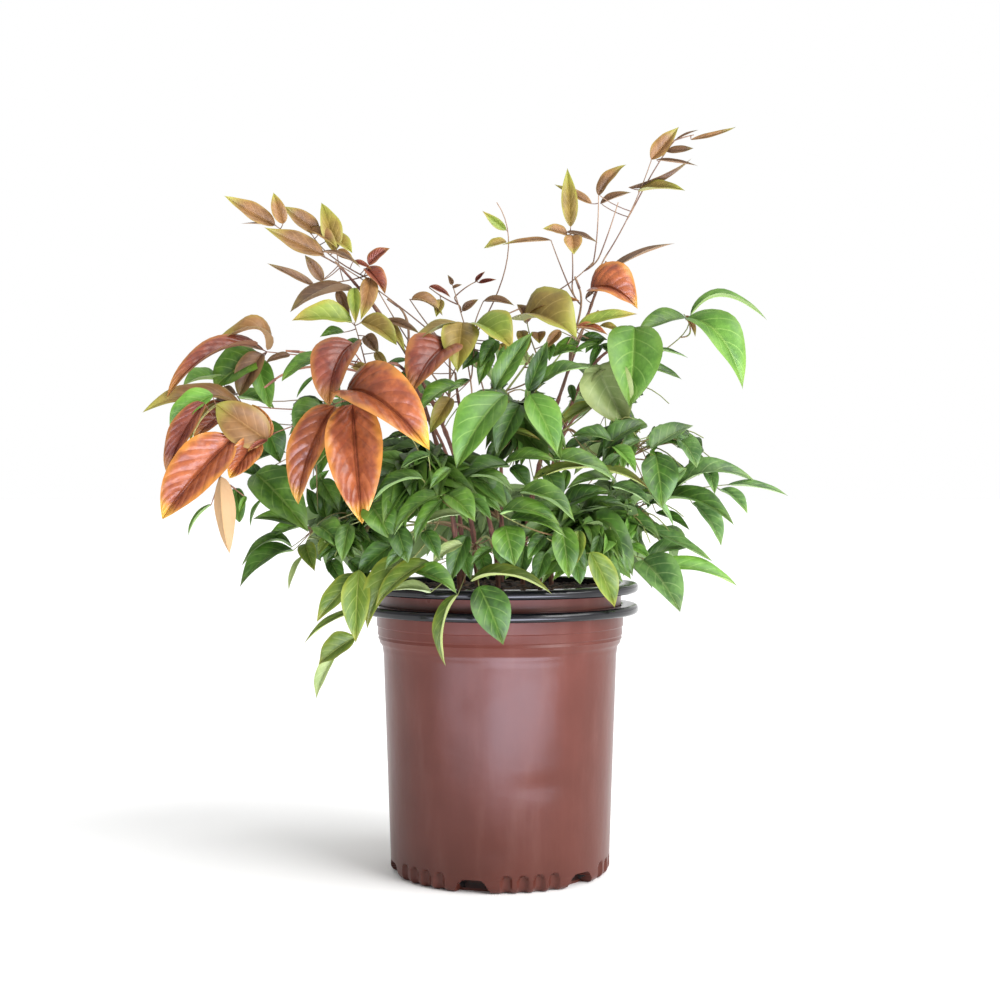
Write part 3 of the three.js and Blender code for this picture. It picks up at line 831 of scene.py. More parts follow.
@dataclass(frozen=True)
class NurseryPot:
    """One thin blown pot with a rolled lip, feet between its drain openings, and flutes."""

    name: str
    node: str
    lift: float = 0.0
    shrink: float = 0.0
    columns: int = 480
    lip_radius: float = 84 * MM
    lip_height: float = 5.5 * MM
    lip_round: float = 2.2 * MM
    rim_top: float = 161.8 * MM
    neck_radius: float = 75 * MM
    step_height: float = 149 * MM
    step_ledge: float = 0.7 * MM
    collar_radius: float = 73.2 * MM
    collar_height: float = 138.5 * MM
    body_top_radius: float = 70.9 * MM
    body_top_height: float = 134.5 * MM
    base_radius: float = 66.6 * MM
    corner: float = 4.5 * MM
    wall: float = 1.0 * MM
    floor: float = 1.5 * MM
    feet: int = 6
    first_drain: float = -44.3
    drain_width: float = 22.0 * MM
    drain_height: float = 8.0 * MM
    drain_round: float = 3.0 * MM
    drain_slope: float = 0.6  # how fast a drain narrows upwards, on each side
    drain_reach: float = 58 * MM
    flutes: int = 4
    flute_pitch: float = 8.3
    flute_width: float = 6.4 * MM
    flute_top: float = 11.0 * MM
    flute_depth: float = 2.3 * MM
    flute_fade: float = 1.2 * MM
    bead: float = 0.5 * MM
    foot_step: float = 0.8 * MM  # how close the rows of the foot lie
    wall_step: float = 2.5 * MM  # and of the rest
    # under the step: how far each ridge stands out from the collar, and how far down it is
    ridges: tuple[tuple[float, float], ...] = (
        (0.35, 8.2), (0.9, 7.6), (0.6, 6.0), (1.3, 5.2), (1.2, 3.6),
    )
    dents: tuple[Dent, ...] = ()

    def outline(self) -> tuple[np.ndarray, tuple[Enum, ...]]:
        """The wall's outline, from the middle of its underside to the middle of its floor.

        Returns:
            Its points, and the finish at each.
        """
        lip_foot = self.rim_top - self.lip_height
        base = self.base_radius - self.shrink
        neck = self.neck_radius - self.shrink
        body_top = self.body_top_radius - self.shrink
        foot = refined([
            *arc((base - self.corner, self.corner), self.corner, -90, 0, 8),
            (base, self.drain_height - 0.1 * MM),
            (base + 0.03 * MM, self.drain_height + 0.1 * MM),
            (base + 0.1 * MM, self.flute_top + 1.5 * MM),
        ], self.foot_step)
        wall = refined([
            foot[-1],
            (body_top - 0.1 * MM, self.body_top_height - 3 * MM),
            (body_top + self.bead, self.body_top_height + 0.6 * MM),
            (body_top + self.bead, self.body_top_height + 1.8 * MM),
            (self.collar_radius - self.shrink, self.collar_height + 0.4 * MM),
            *(
                (self.collar_radius + out * MM - self.shrink, self.step_height - down * MM)
                for out, down in self.ridges
            ),
            (neck - self.step_ledge, self.step_height - self.step_ledge),
            (neck, self.step_height),
            (neck, lip_foot - 0.6 * MM),
        ], self.wall_step)
        underside = refined([(0, 0), (base - self.corner, 0)], 4 * self.wall_step)
        skin = np.concatenate([underside[:-1], foot, wall[1:]])
        out = self.lip_radius - self.lip_round
        lip = refined([
            (neck + 0.5 * MM, lip_foot),
            *arc((out, lip_foot + self.lip_round), self.lip_round, -90, 0, 5),
            *arc((out, self.rim_top - self.lip_round), self.lip_round, 0, 90, 5),
            (neck + 0.8 * MM, self.rim_top),
            (neck - self.wall, self.rim_top - 0.8 * MM),
        ], self.wall_step)
        within = self.wall + self.shrink
        lining = refined([
            (neck - self.wall, self.step_height),
            (self.body_top_radius - within, self.body_top_height),
            (self.base_radius - within, self.corner + self.floor),
            (self.base_radius - within - self.corner, self.floor),
            (0, self.floor),
        ], 4 * self.wall_step)
        worn = ((Plain.POT_BROWN, skin), (Plain.POT_BLACK, lip), (Plain.POT_INSIDE, lining))
        finishes = tuple(finish for finish, points in worn for _ in points)
        return np.concatenate([skin, lip, lining]), finishes

    def relief(self, angle: np.ndarray, radius: np.ndarray, height: np.ndarray) -> tuple:
        """Presses the drain openings, flutes and dents into the skin.

        Args:
            angle: each corner's angle round the pot.
            radius: its radius.
            height: its height above the pot's underside.

        Returns:
            The new radius and height.
        """
        outer = radius > self.base_radius - self.shrink - self.corner - 0.1 * MM
        spoke = np.radians(360 / self.feet)
        turn = (angle - np.radians(self.first_drain) + spoke / 2) % spoke - spoke / 2
        aside = np.abs(turn) * self.base_radius
        above = np.clip(height - (self.drain_height - self.drain_round), 0, self.drain_round)
        half = self.drain_width / 2 - self.drain_slope * height - (
            self.drain_round - np.sqrt(np.maximum(self.drain_round**2 - above**2, 0))
        )
        opening = (height < self.drain_height) & (aside < half) & (radius > self.drain_reach)
        foot_turn = np.abs(np.abs(turn) - spoke / 2)
        pitch = np.radians(self.flute_pitch)
        half_flute = self.flute_width / 2
        narrow = ((foot_turn / pitch) % 1.0 - 0.5) * pitch * self.base_radius / half_flute
        hollow = np.sqrt(np.clip(1 - narrow**2, 0, 1))
        top = self.flute_top - half_flute * (1 - hollow)
        groove = hollow * np.clip((top - height) / self.flute_fade, 0, 1)
        fluted = groove * (foot_turn < pitch * self.flutes / 2) * outer
        pressed = radius - fluted * self.flute_depth
        for dent in self.dents:
            wide = ((angle - np.radians(dent.angle) + math.pi) % TURN - math.pi) * radius / dent.wide
            tall = (height - dent.height) / dent.tall
            pressed = pressed - dent.depth * np.exp(-(wide**2) - tall**2) * outer
        return np.where(opening, self.drain_reach, pressed), height

    def build(self) -> None:
        """Builds the pot in its place in the stack."""
        outline, finishes = self.outline()
        shape = Turned(outline, self.columns, Plain.POT_BROWN, finishes[:-1]).shape(self.relief)
        shape.corners[:, 2] += self.lift
        Piece(self.name, "pot_brown", [self.node], [shape], sharp_angle=35.0).build()


@dataclass(frozen=True)
class BarkMix:
    """The potting mix: a lumpy bed of shredded bark with loose chips on it."""

    top: float = 172 * MM
    edge_drop: float = 2.5 * MM
    radius: float = 72.2 * MM
    foot_radius: float = 63 * MM
    foot: float = 14.8 * MM
    lumps: float = 1.1 * MM
    columns: int = 150
    chips: int = 420
    chip_reach: float = 0.97  # how far out chips lie, of the bed's radius
    chip_length: tuple[float, float] = (4 * MM, 11 * MM)
    chip_slope: tuple[float, float] = (-0.35, 0.35)
    chip_bow_mm: tuple[float, float] = (0.2, 1.2)
    chip_thick_mm: tuple[float, float] = (0.8, 1.9)
    chip_flat: tuple[float, float] = (0.35, 0.8)
    chip_shade: tuple[float, float] = (0.7, 1.3)
    seed: int = 41

    def height(self, x: np.ndarray, y: np.ndarray) -> np.ndarray:
        """How high the bed lies over a place."""
        out = np.hypot(x, y) / self.radius
        waves = (np.sin(x / MM * 0.42 + 1.3) * np.cos(y / MM * 0.37)
                 + np.sin(x / MM * 0.9 - y / MM * 0.7) * 0.6
                 + np.sin(x / MM * 1.9 + y / MM * 1.6 + 2) * 0.35)
        return self.top - self.edge_drop * out**4 + self.lumps * waves * 0.5

    def bed(self) -> Shape:
        """The bed as one closed shape."""
        edge = (self.radius, self.top - self.edge_drop)
        outline = refined([(0, self.foot), (self.foot_radius, self.foot), edge], 6 * MM)
        surface = refined([edge, (0, self.top)], 1.5 * MM)

        def relief(angle: np.ndarray, radius: np.ndarray, height: np.ndarray) -> tuple:
            """Lifts the top into lumps."""
            over = self.height(radius * np.cos(angle), radius * np.sin(angle))
            upper = height > edge[1] - 0.1 * MM
            return radius, np.where(upper, over, height)

        return Turned(np.concatenate([outline, surface[1:]]), self.columns, Plain.MIX).shape(relief)

    def chip(self, draws: Draws) -> Shape:
        """One loose chip of bark: a bent, tapering splinter."""
        out = self.radius * self.chip_reach * math.sqrt(draws.next())
        angle = draws.between(0, TURN)
        x, y = out * math.cos(angle), out * math.sin(angle)
        spot = np.array([x, y, float(self.height(np.array(x), np.array(y)))])
        heading = draws.between(0, TURN)
        way = np.array([math.cos(heading), math.sin(heading), draws.between(*self.chip_slope)])
        half = way * draws.between(*self.chip_length) / 2
        bow = UP * draws.between(*self.chip_bow_mm) * MM
        curve = Bezier(np.array([spot - half, spot + bow, spot + half]))
        thick = draws.between(*self.chip_thick_mm) * MM
        flat = draws.between(*self.chip_flat)

        def radius(share: np.ndarray, angle: np.ndarray) -> np.ndarray:
            """A flattened, pointed splinter."""
            body = np.clip(np.sin(np.pi * (0.12 + share * 0.76)), 0, 1)
            return thick * body * (1 - flat * np.abs(np.sin(angle)) + 0.15 * np.sin(3 * angle + heading))

        finish = draws.pick([(Plain.MIX, 0.55), (Plain.CHIP, 0.45)])
        return TUBES.tube(curve, 5, 6, radius, finish, draws.between(*self.chip_shade))

    def build(self) -> None:
        """Builds the bed and its chips."""
        draws = Draws(self.seed)
        chips = [self.chip(draws) for _ in range(self.chips)]
        Piece("bark_mix", "bark_mix", ["soil"], [self.bed()], sharp_angle=50.0).build()
        Piece("bark_chips", "bark_mix", (), chips, sharp_angle=45.0).build()


# --- leaflets


class LeafWeaver:
    """Makes closed leaflets of one fineness: a folded upper face and an underside."""

    BASE_POWER = 0.82  # how fast a blade widens from its root
    TIP_POWER = 1.4  # and narrows to its drawn-out tip

    def __init__(self, along: Sequence[float], across: Sequence[float]) -> None:
        """Weaves the faces that all these leaflets share.

        Args:
            along: shares of the length between root and tip where the blade has a row.
            across: places from -1 to 1 across each row, with the midrib at 0.
        """
        self.along = np.array(along)
        self.across = np.array(across)
        self.weave = self._weave()

    def _weave(self) -> Weave:
        """Joins the corners: root, tip, upper rows, then the underside's inner rows."""
        rows, columns = len(self.along), len(self.across)
        upper = 2 + np.arange(rows * columns).reshape(rows, columns)
        lower = upper.copy()
        lower[:, 1:-1] = 2 + rows * columns + np.arange(rows * (columns - 2)).reshape(rows, -1)
        share = np.concatenate([[0.0], self.along, [1.0]])
        form = (self.across + 1) / 2
        faces: list[list[tuple[int, float, float]]] = []  # each corner's number and place in the form map

        for beneath, grid in enumerate((upper, lower)):
            for column in range(columns - 1):
                left, right = form[column] + beneath, form[column + 1] + beneath
                middle = (left + right) / 2
                strip = [[(0, middle, 0.0), (grid[0, column + 1], right, share[1]),
                          (grid[0, column], left, share[1])]]
                for row in range(rows - 1):
                    low, high = share[row + 1], share[row + 2]
                    strip.append([
                        (grid[row, column], left, low), (grid[row, column + 1], right, low),
                        (grid[row + 1, column + 1], right, high), (grid[row + 1, column], left, high),
                    ])
                strip.append([(grid[-1, column], left, share[-2]),
                              (grid[-1, column + 1], right, share[-2]), (1, middle, 1.0)])
                faces += [[face[0], *face[:0:-1]] if beneath else face for face in strip]
        corners = np.array([corner for face in faces for corner in face])
        spots = corners[:, 1:]
        return Weave(
            corners[:, 0].astype(int),
            np.array([len(face) for face in faces]),
            spots,
            0.01 + spots * (0.49, 0.98),
        )

    def outline(self, fullness: float) -> np.ndarray:
        """The blade's half width at each row, as a share of its greatest; fullness rounds its sides."""
        broadest = self.BASE_POWER / (self.BASE_POWER + self.TIP_POWER)
        return ((self.along / broadest) ** (self.BASE_POWER / fullness)
                * ((1 - self.along) / (1 - broadest)) ** (self.TIP_POWER / fullness))


FINE = LeafWeaver(
    (0.03, 0.07, 0.12, 0.18, 0.25, 0.32, 0.39, 0.46, 0.53, 0.6, 0.67, 0.74, 0.8, 0.86, 0.91, 0.95, 0.98),
    (-1, -0.86, -0.66, -0.44, -0.22, -0.06, 0, 0.06, 0.22, 0.44, 0.66, 0.86, 1),
)
COARSE = LeafWeaver(
    (0.05, 0.14, 0.26, 0.39, 0.52, 0.65, 0.77, 0.88, 0.96), (-1, -0.62, -0.14, 0, 0.14, 0.62, 1)
)


@dataclass(frozen=True)
class Leaflet:
    """One leaflet, from its root to its drawn-out tip."""

    root: np.ndarray
    tip: np.ndarray
    face: np.ndarray
    tint: Tint
    width: float
    arch: float
    fold: float
    twist: float = 0.0
    shade: float = 1.0
    phase: float = 0.0
    wave: float = 0.1
    fine: bool = False
    fullness: float = 1.0

    THICKNESS = 0.4 * MM
    MIDRIB = 0.5 * MM
    BULGE = 0.12
    RIPPLES = 2.2
    TWIST_FROM = 0.3
    RIPPLE_SHIFT = 1.7  # between the ripples of the two sides
    NEAR_HANDLE, FAR_HANDLE = 0.33, 0.74  # where the midrib's inner points lie along the chord
    EVEN_ARCH = 0.1  # up to this arch a midrib bows evenly
    DROOP = 3.2  # beyond it, how fast the bow moves to the root, so that the tip hangs

    def shape(self) -> Shape:
        """The leaflet as a closed shape."""
        grid = FINE if self.fine else COARSE
        chord = self.tip - self.root
        length = float(np.linalg.norm(chord))
        ahead = chord / length
        side = unit(np.cross(ahead, self.face))
        bow = np.cross(side, ahead) * self.arch * length * 4 / 3
        droop = min(max(self.arch - self.EVEN_ARCH, 0) * self.DROOP, 1)
        midrib = Bezier(np.array([
            self.root,
            self.root + chord * (self.NEAR_HANDLE - 0.25 * droop) + bow * (1 + 0.4 * droop),
            self.root + chord * (self.FAR_HANDLE - 0.1 * droop) + bow * (1 - 0.5 * droop),
            self.tip,
        ]))
        middles, ways = midrib.at(grid.along), midrib.ways(grid.along)
        turn = self.twist * (grid.along - self.TWIST_FROM)
        lifts = np.cross(side, ways)
        sides = side * np.cos(turn)[:, None] + lifts * np.sin(turn)[:, None]
        lifts = np.cross(sides, ways)
        half = (grid.outline(self.fullness) * self.width * length / 2)[:, None]
        across, along = grid.across[None, :], grid.along[:, None]
        out = np.abs(across)
        ripple = np.sin(TURN * self.RIPPLES * along + self.phase + self.RIPPLE_SHIFT * (across > 0))
        rise = half * (self.fold * out + self.BULGE * np.sin(np.pi * out) + self.wave * out**2 * ripple)
        upper = (middles[:, None] + sides[:, None] * (half * across)[..., None]
                 + lifts[:, None] * rise[..., None])
        depth = self.THICKNESS * (1 - out**2) + self.MIDRIB * (out == 0)
        depth = depth * np.minimum(1, half / (2 * MM))
        lower = upper[:, 1:-1] - lifts[:, None] * depth[:, 1:-1, None]
        corners = np.concatenate([[self.root, self.tip], upper.reshape(-1, 3), lower.reshape(-1, 3)])
        return Shape(corners, grid.weave, self.tint, self.shade)


# --- plan of the plant


@dataclass(frozen=True)
class Habit:
    """How the leaflets of a mass look and how far they are divided."""

    tints: tuple[tuple[Tint, float], ...]
    twig: Plain
    slot: str
    width: float = 0.38
    arch: float = 0.13
    fold: float = 0.6
    trefoils: float = 0.4
    grown: bool = True
    fine: bool = False
    fullness: float = 1.0


class Kind(Enum):
    """The habits that the masses have."""

    BRONZE = Habit(((Tint.BRONZE, 0.6), (Tint.PLUM, 0.25), (Tint.OLIVE, 0.15)), Plain.STALK_BRONZE,
                   "leaf_bronze", width=0.36, grown=False)
    COPPER = Habit(((Tint.COPPER, 0.6), (Tint.RUST, 0.4)), Plain.STALK_RED,
                   "leaf_copper", width=0.46, grown=False, fine=True, fullness=1.35)
    OLIVE = Habit(((Tint.OLIVE, 0.5), (Tint.LIME, 0.3), (Tint.BRONZE, 0.2)), Plain.STALK_BRONZE,
                  "leaf_olive", grown=False)
    LIME = Habit(((Tint.LIME, 0.45), (Tint.BRIGHT, 0.55)), Plain.STALK_GREEN,
                 "leaf_lime", grown=False)
    RIM = Habit(((Tint.FERN, 1.0),), Plain.STALK_GREEN, "leaf_green", grown=False)
    GREEN = Habit(((Tint.GREEN, 0.5), (Tint.BRIGHT, 0.2), (Tint.DARK, 0.3)), Plain.STALK_GREEN,
                  "leaf_green")
    DARK = Habit(((Tint.DARK, 0.5), (Tint.GREEN, 0.45), (Tint.BRIGHT, 0.05)), Plain.STALK_GREEN,
                 "leaf_dark")


@dataclass(frozen=True)
class Mass:
    """A mass of foliage: the fork its ribs leave and the tips they reach."""

    name: str
    kind: Kind
    fork: np.ndarray
    tips: np.ndarray
    leaf: float
    pairs: int
    cane: int = 0
    share: float = 0.0
    # painted light and shade: its leaflets' colours are made darker below one and lighter above one
    light: float = 1.0

    STEM_LENGTH = 7 * MM
    STEM_LIFT = 0.5

    @cached_property
    def ahead(self) -> np.ndarray:
        """The direction of the mass's stem: towards the middle of its tips, and up."""
        return unit(unit(self.tips.mean(axis=0) - self.fork) + self.STEM_LIFT * UP)

    @cached_property
    def foot(self) -> np.ndarray:
        """Where the mass's stem starts."""
        return self.fork - self.ahead * self.STEM_LENGTH


# Each mass from its name, habit, fork and tips to its leaves' length, in millimetres, its pairs of side
# twigs on a rib, the cane that carries it, how far up that cane, and its painted light and shade on its
# leaflets.
FRONT_MASSES = tuple(
    Mass(name, kind, mm(*fork), mm(*tips), leaf * MM, *rest)
    for name, kind, fork, tips, leaf, *rest in (
        ("top_right", Kind.BRONZE, (66, 20, 373), ((111, 20, 457), (124, 0, 433), (70, 30, 436)), 30, 4),
        ("upright", Kind.BRONZE, (46, 8, 362),
         ((43, 10, 429), (-10, -8, 401), (64, 0, 394), (-8, 8, 378)), 34, 2, 1, 0.7),
        ("copper_right", Kind.BRONZE, (60, -2, 340),
         ((89, -15, 341), (106, 10, 383), (45, -24, 321)), 34, 1, 1, 0.6),
        ("top_left", Kind.BRONZE, (-99, -15, 368),
         ((-164, -20, 405), (-111, 0, 407), (-136, -35, 351)), 32, 4),
        ("left_mid", Kind.OLIVE, (-68, -10, 346),
         ((-75, -5, 381), (-127, -24, 344), (-121, -45, 326)), 36, 2, 2, 0.7),
        ("top_centre", Kind.BRONZE, (-31, -10, 330),
         ((-55, -20, 350), (-14, 10, 352), (-27, 0, 368)), 24, 3, 2, 0.48),
        ("copper_left", Kind.COPPER, (-125, -42, 312),
         ((-193, -62, 281), (-209, -40, 276), (-160, -15, 290)), 66, 0, 2, 0.56),
        ("copper_left_low", Kind.COPPER, (-134, -66, 289),
         ((-189, -84, 215), (-154, -72, 196), (-188, -54, 242), (-148, -92, 232)), 64, 0, 3, 0.66),
        ("copper_front", Kind.COPPER, (-71, -88, 291),
         ((-74, -117, 213), (-112, -92, 224), (-38, -117, 252), (-100, -84, 318)), 76, 0),
        ("olive_top", Kind.OLIVE, (-26, -45, 299),
         ((-54, -66, 328), (-16, -34, 338), (-50, -82, 278), (6, -62, 322)), 44, 3),
        ("bronze_centre", Kind.LIME, (20, -22, 312),
         ((49, -44, 316), (8, -14, 352), (85, -32, 330)), 42, 2, 5, 0.68),
        ("lime_right", Kind.LIME, (92, -5, 322),
         ((148, -12, 294), (166, 15, 337), (68, -42, 279)), 54, 2, 0, 0.0, 0.82),
        ("green_centre", Kind.GREEN, (12, -52, 270),
         ((34, -104, 246), (-22, -104, 244), (72, -74, 270), (2, -96, 286)), 50, 4, 5, 0.46, 0.7),
        ("green_inner_right", Kind.GREEN, (66, -36, 256),
         ((84, -104, 240), (122, -66, 250), (112, -34, 286)), 50, 4, 4, 0.5, 0.95),
        ("green_right", Kind.DARK, (80, 4, 250),
         ((175, -5, 229), (170, 36, 256), (142, -44, 216)), 50, 5, 4, 0.38, 1.12),
        ("green_right_low", Kind.GREEN, (76, -12, 211),
         ((140, -22, 173), (108, -54, 159), (152, 24, 198)), 48, 5, 4, 0.2, 1.1),
        ("green_left", Kind.GREEN, (-76, 0, 252),
         ((-154, -8, 262), (-148, -36, 218), (-156, 34, 238), (-166, 14, 296)), 50, 5, 2, 0.34, 0.9),
        ("green_left_low", Kind.DARK, (-82, -12, 207),
         ((-156, -16, 174), (-120, -44, 148), (-152, 28, 186)), 48, 5, 2, 0.16),
        ("droop_left", Kind.RIM, (-60, -64, 200), ((-103, -82, 115), (-82, -100, 148)), 46, 3, 3, 0.14),
        ("green_front", Kind.GREEN, (-30, -76, 238),
         ((-62, -128, 212), (-6, -138, 208), (-92, -98, 232), (-36, -132, 242)), 48, 4, 3, 0.42, 0.7),
        ("front_rim", Kind.RIM, (-14, -68, 200),
         ((0, -107, 148), (-32, -106, 137), (-62, -108, 168)), 46, 3, 5, 0.14, 0.76),
        ("front_rim_right", Kind.GREEN, (42, -62, 206),
         ((66, -108, 166), (24, -124, 180), (90, -92, 190), (50, -120, 206)), 46, 4, 4, 0.1, 0.82),
    )
)


@dataclass(frozen=True)
class BackRing:
    """One ring of masses at the back of the clump, each with its ribs in a fan."""

    level: str
    kind: Kind
    radius: float
    fork: float
    leaf: float
    reach: tuple[float, ...]
    tip_height: tuple[float, ...]
    on_cane: bool

    FAN = (-24.0, 24.0, 2.0)
    PLACES = (("left", 6, 143.0), ("right", 7, 38.0), ("centre", 8, 91.0))
    PAIRS = 5
    SHARE = 0.24

    def masses(self) -> list[Mass]:
        """The ring's masses."""
        return [self._mass(side, cane, angle) for side, cane, angle in self.PLACES]

    def _mass(self, side: str, cane: int, angle: float) -> Mass:
        """The mass at one side of the ring."""
        rows = zip(self.FAN, self.reach, self.tip_height, strict=True)
        tips = mm(*[self._polar(angle + turn, reach, height) for turn, reach, height in rows])
        fork = mm(*self._polar(angle, self.radius, self.fork))
        carried = {} if self.on_cane else {"cane": cane, "share": self.SHARE}
        return Mass(f"back_{side}_{self.level}", self.kind, fork, tips, self.leaf, self.PAIRS, **carried)

    @staticmethod
    def _polar(degrees: float, radius: float, height: float) -> tuple[float, float, float]:
        """A place from its angle, radius and height."""
        angle = math.radians(degrees)
        return radius * math.cos(angle), radius * math.sin(angle), height


BACK_RINGS = (
    BackRing("high", Kind.GREEN, 82, 288, 52 * MM, (158, 164, 112), (262, 240, 332), True),
    BackRing("low", Kind.DARK, 84, 213, 50 * MM, (160, 162, 158), (196, 172, 214), False),
)

CANE_FEET = (
    (mm(14, 4, 172), "top_right"),
    (mm(-14, -2, 172), "top_left"),
    (mm(-24, -27, 172), "copper_front"),
    (mm(31, -9, 172), "lime_right"),
    (mm(-1, -22, 172), "olive_top"),
    (mm(-23, 25, 172), "back_left_high"),
    (mm(25, 27, 172), "back_right_high"),
    (mm(1, 36, 172), "back_centre_high"),
)


# --- leading leaflets


# How high the picture was taken from, in millimetres.
EYE_HEIGHT = 232


@dataclass(frozen=True)
class FrontView:
    """The view from the plant's front, which the leading leaflets are laid out in."""

    distance: float = 976 * MM
    height: float = EYE_HEIGHT * MM

    AXIS_COLUMN = 500
    HORIZON_ROW = 488
    POINT = 0.61

    def read(self, column: int, row: int) -> np.ndarray:
        """Where a point of the picture is seen on the upright plane through the pot's axis.

        Args:
            column: the picture's column, counted from its left edge.
            row: the picture's row, counted from its top edge.

        Returns:
            How far right of the axis and how high above the ground, to the nearest millimetre.
        """
        aside = round((column - self.AXIS_COLUMN) * self.POINT)
        return mm(aside, round(EYE_HEIGHT + (self.HORIZON_ROW - row) * self.POINT))

    def place(self, x: float, z: float, depth: float) -> np.ndarray:
        """A place that is seen at x and z on the upright plane through the pot's axis.

        Args:
            x: how far right of the axis it is seen.
            z: how high above the ground it is seen.
            depth: how far behind that plane it really is.

        Returns:
            The real place.
        """
        spread = (self.distance + depth) / self.distance
        return np.array([x * spread, depth, self.height + (z - self.height) * spread])

    def seen(self, points: np.ndarray) -> np.ndarray:
        """Where places are seen on the upright plane through the pot's axis."""
        spread = (self.distance + points[..., 1]) / self.distance
        return np.stack([points[..., 0] / spread,
                         self.height + (points[..., 2] - self.height) / spread], axis=-1)


FRONT = FrontView()


@dataclass(frozen=True)
class Lead:
    """A leading leaflet, one of those that give the plant its outline from the front.

    Attributes:
        tint: its colour.
        root_column, root_row: the picture's point where its root is seen.
        tip_column, tip_row: the picture's point where its tip is seen.
        width: its width, as a share of its length.
        arch: how far its midrib bows as it is seen, as a share of its length.
        tilt: degrees that its upper side turns from the front to its own left hand.
        set_back: how far it stands behind its mass's surface, in millimetres.
    """

    tint: Tint
    root_column: int
    root_row: int
    tip_column: int
    tip_row: int
    width: float
    arch: float
    tilt: float = 0.0
    set_back: float = 0.0

    ROOT_DEEPER = 4 * MM
    FACE_LIFT = 0.25
    FOLDS = (0.7, 1.2)
    TWISTS = (-0.35, 0.35)
    SHADES = (0.86, 1.14)
    WAVES = (0.03, 0.1)
    FULLNESSES = (0.9, 1.2)
    TURNED = (30, 100)
    TURNED_EASE = 0.6
    STRONG_ARCH = 0.1
    STRONG_EASE = 0.85

    @property
    def eased_arch(self) -> float:
        """The real arch: strong ones are read as too strong, most of all where a leaflet is turned."""
        least, most = self.TURNED
        if least <= abs(self.tilt) < most:
            return round(self.arch * self.TURNED_EASE, 2)
        return round(self.arch * self.STRONG_EASE, 2) if self.arch > self.STRONG_ARCH else self.arch

    def leaflet(self, depth: Callable[[float, float], float], habit: "Habit", draws: Draws) -> Leaflet:
        """The real leaflet.

        Args:
            depth: the depth of the mass's surface where a place is seen.
            habit: the mass's habit.
            draws: the draws for its small differences.

        Returns:
            The leaflet.
        """
        root_x, root_z = FRONT.read(self.root_column, self.root_row)
        tip_x, tip_z = FRONT.read(self.tip_column, self.tip_row)
        back = self.set_back * MM
        root = FRONT.place(root_x, root_z, depth(root_x, root_z) + back + self.ROOT_DEEPER)
        tip = FRONT.place(tip_x, tip_z, depth(tip_x, tip_z) + back)
        ahead = unit(np.array([tip_x - root_x, 0.0, tip_z - root_z]))
        left = np.array([-ahead[2], 0.0, ahead[0]])
        turn = math.radians(self.tilt)
        face = np.array([0.0, -math.cos(turn), self.FACE_LIFT]) + left * math.sin(turn)
        return Leaflet(
            root, tip, unit(face), self.tint, self.width, self.eased_arch,
            fold=habit.fold * draws.between(*self.FOLDS),
            twist=draws.between(*self.TWISTS),
            shade=draws.between(*self.SHADES),
            phase=draws.between(0, TURN),
            wave=draws.between(*self.WAVES),
            fine=True,
            fullness=habit.fullness * draws.between(*self.FULLNESSES),
        )
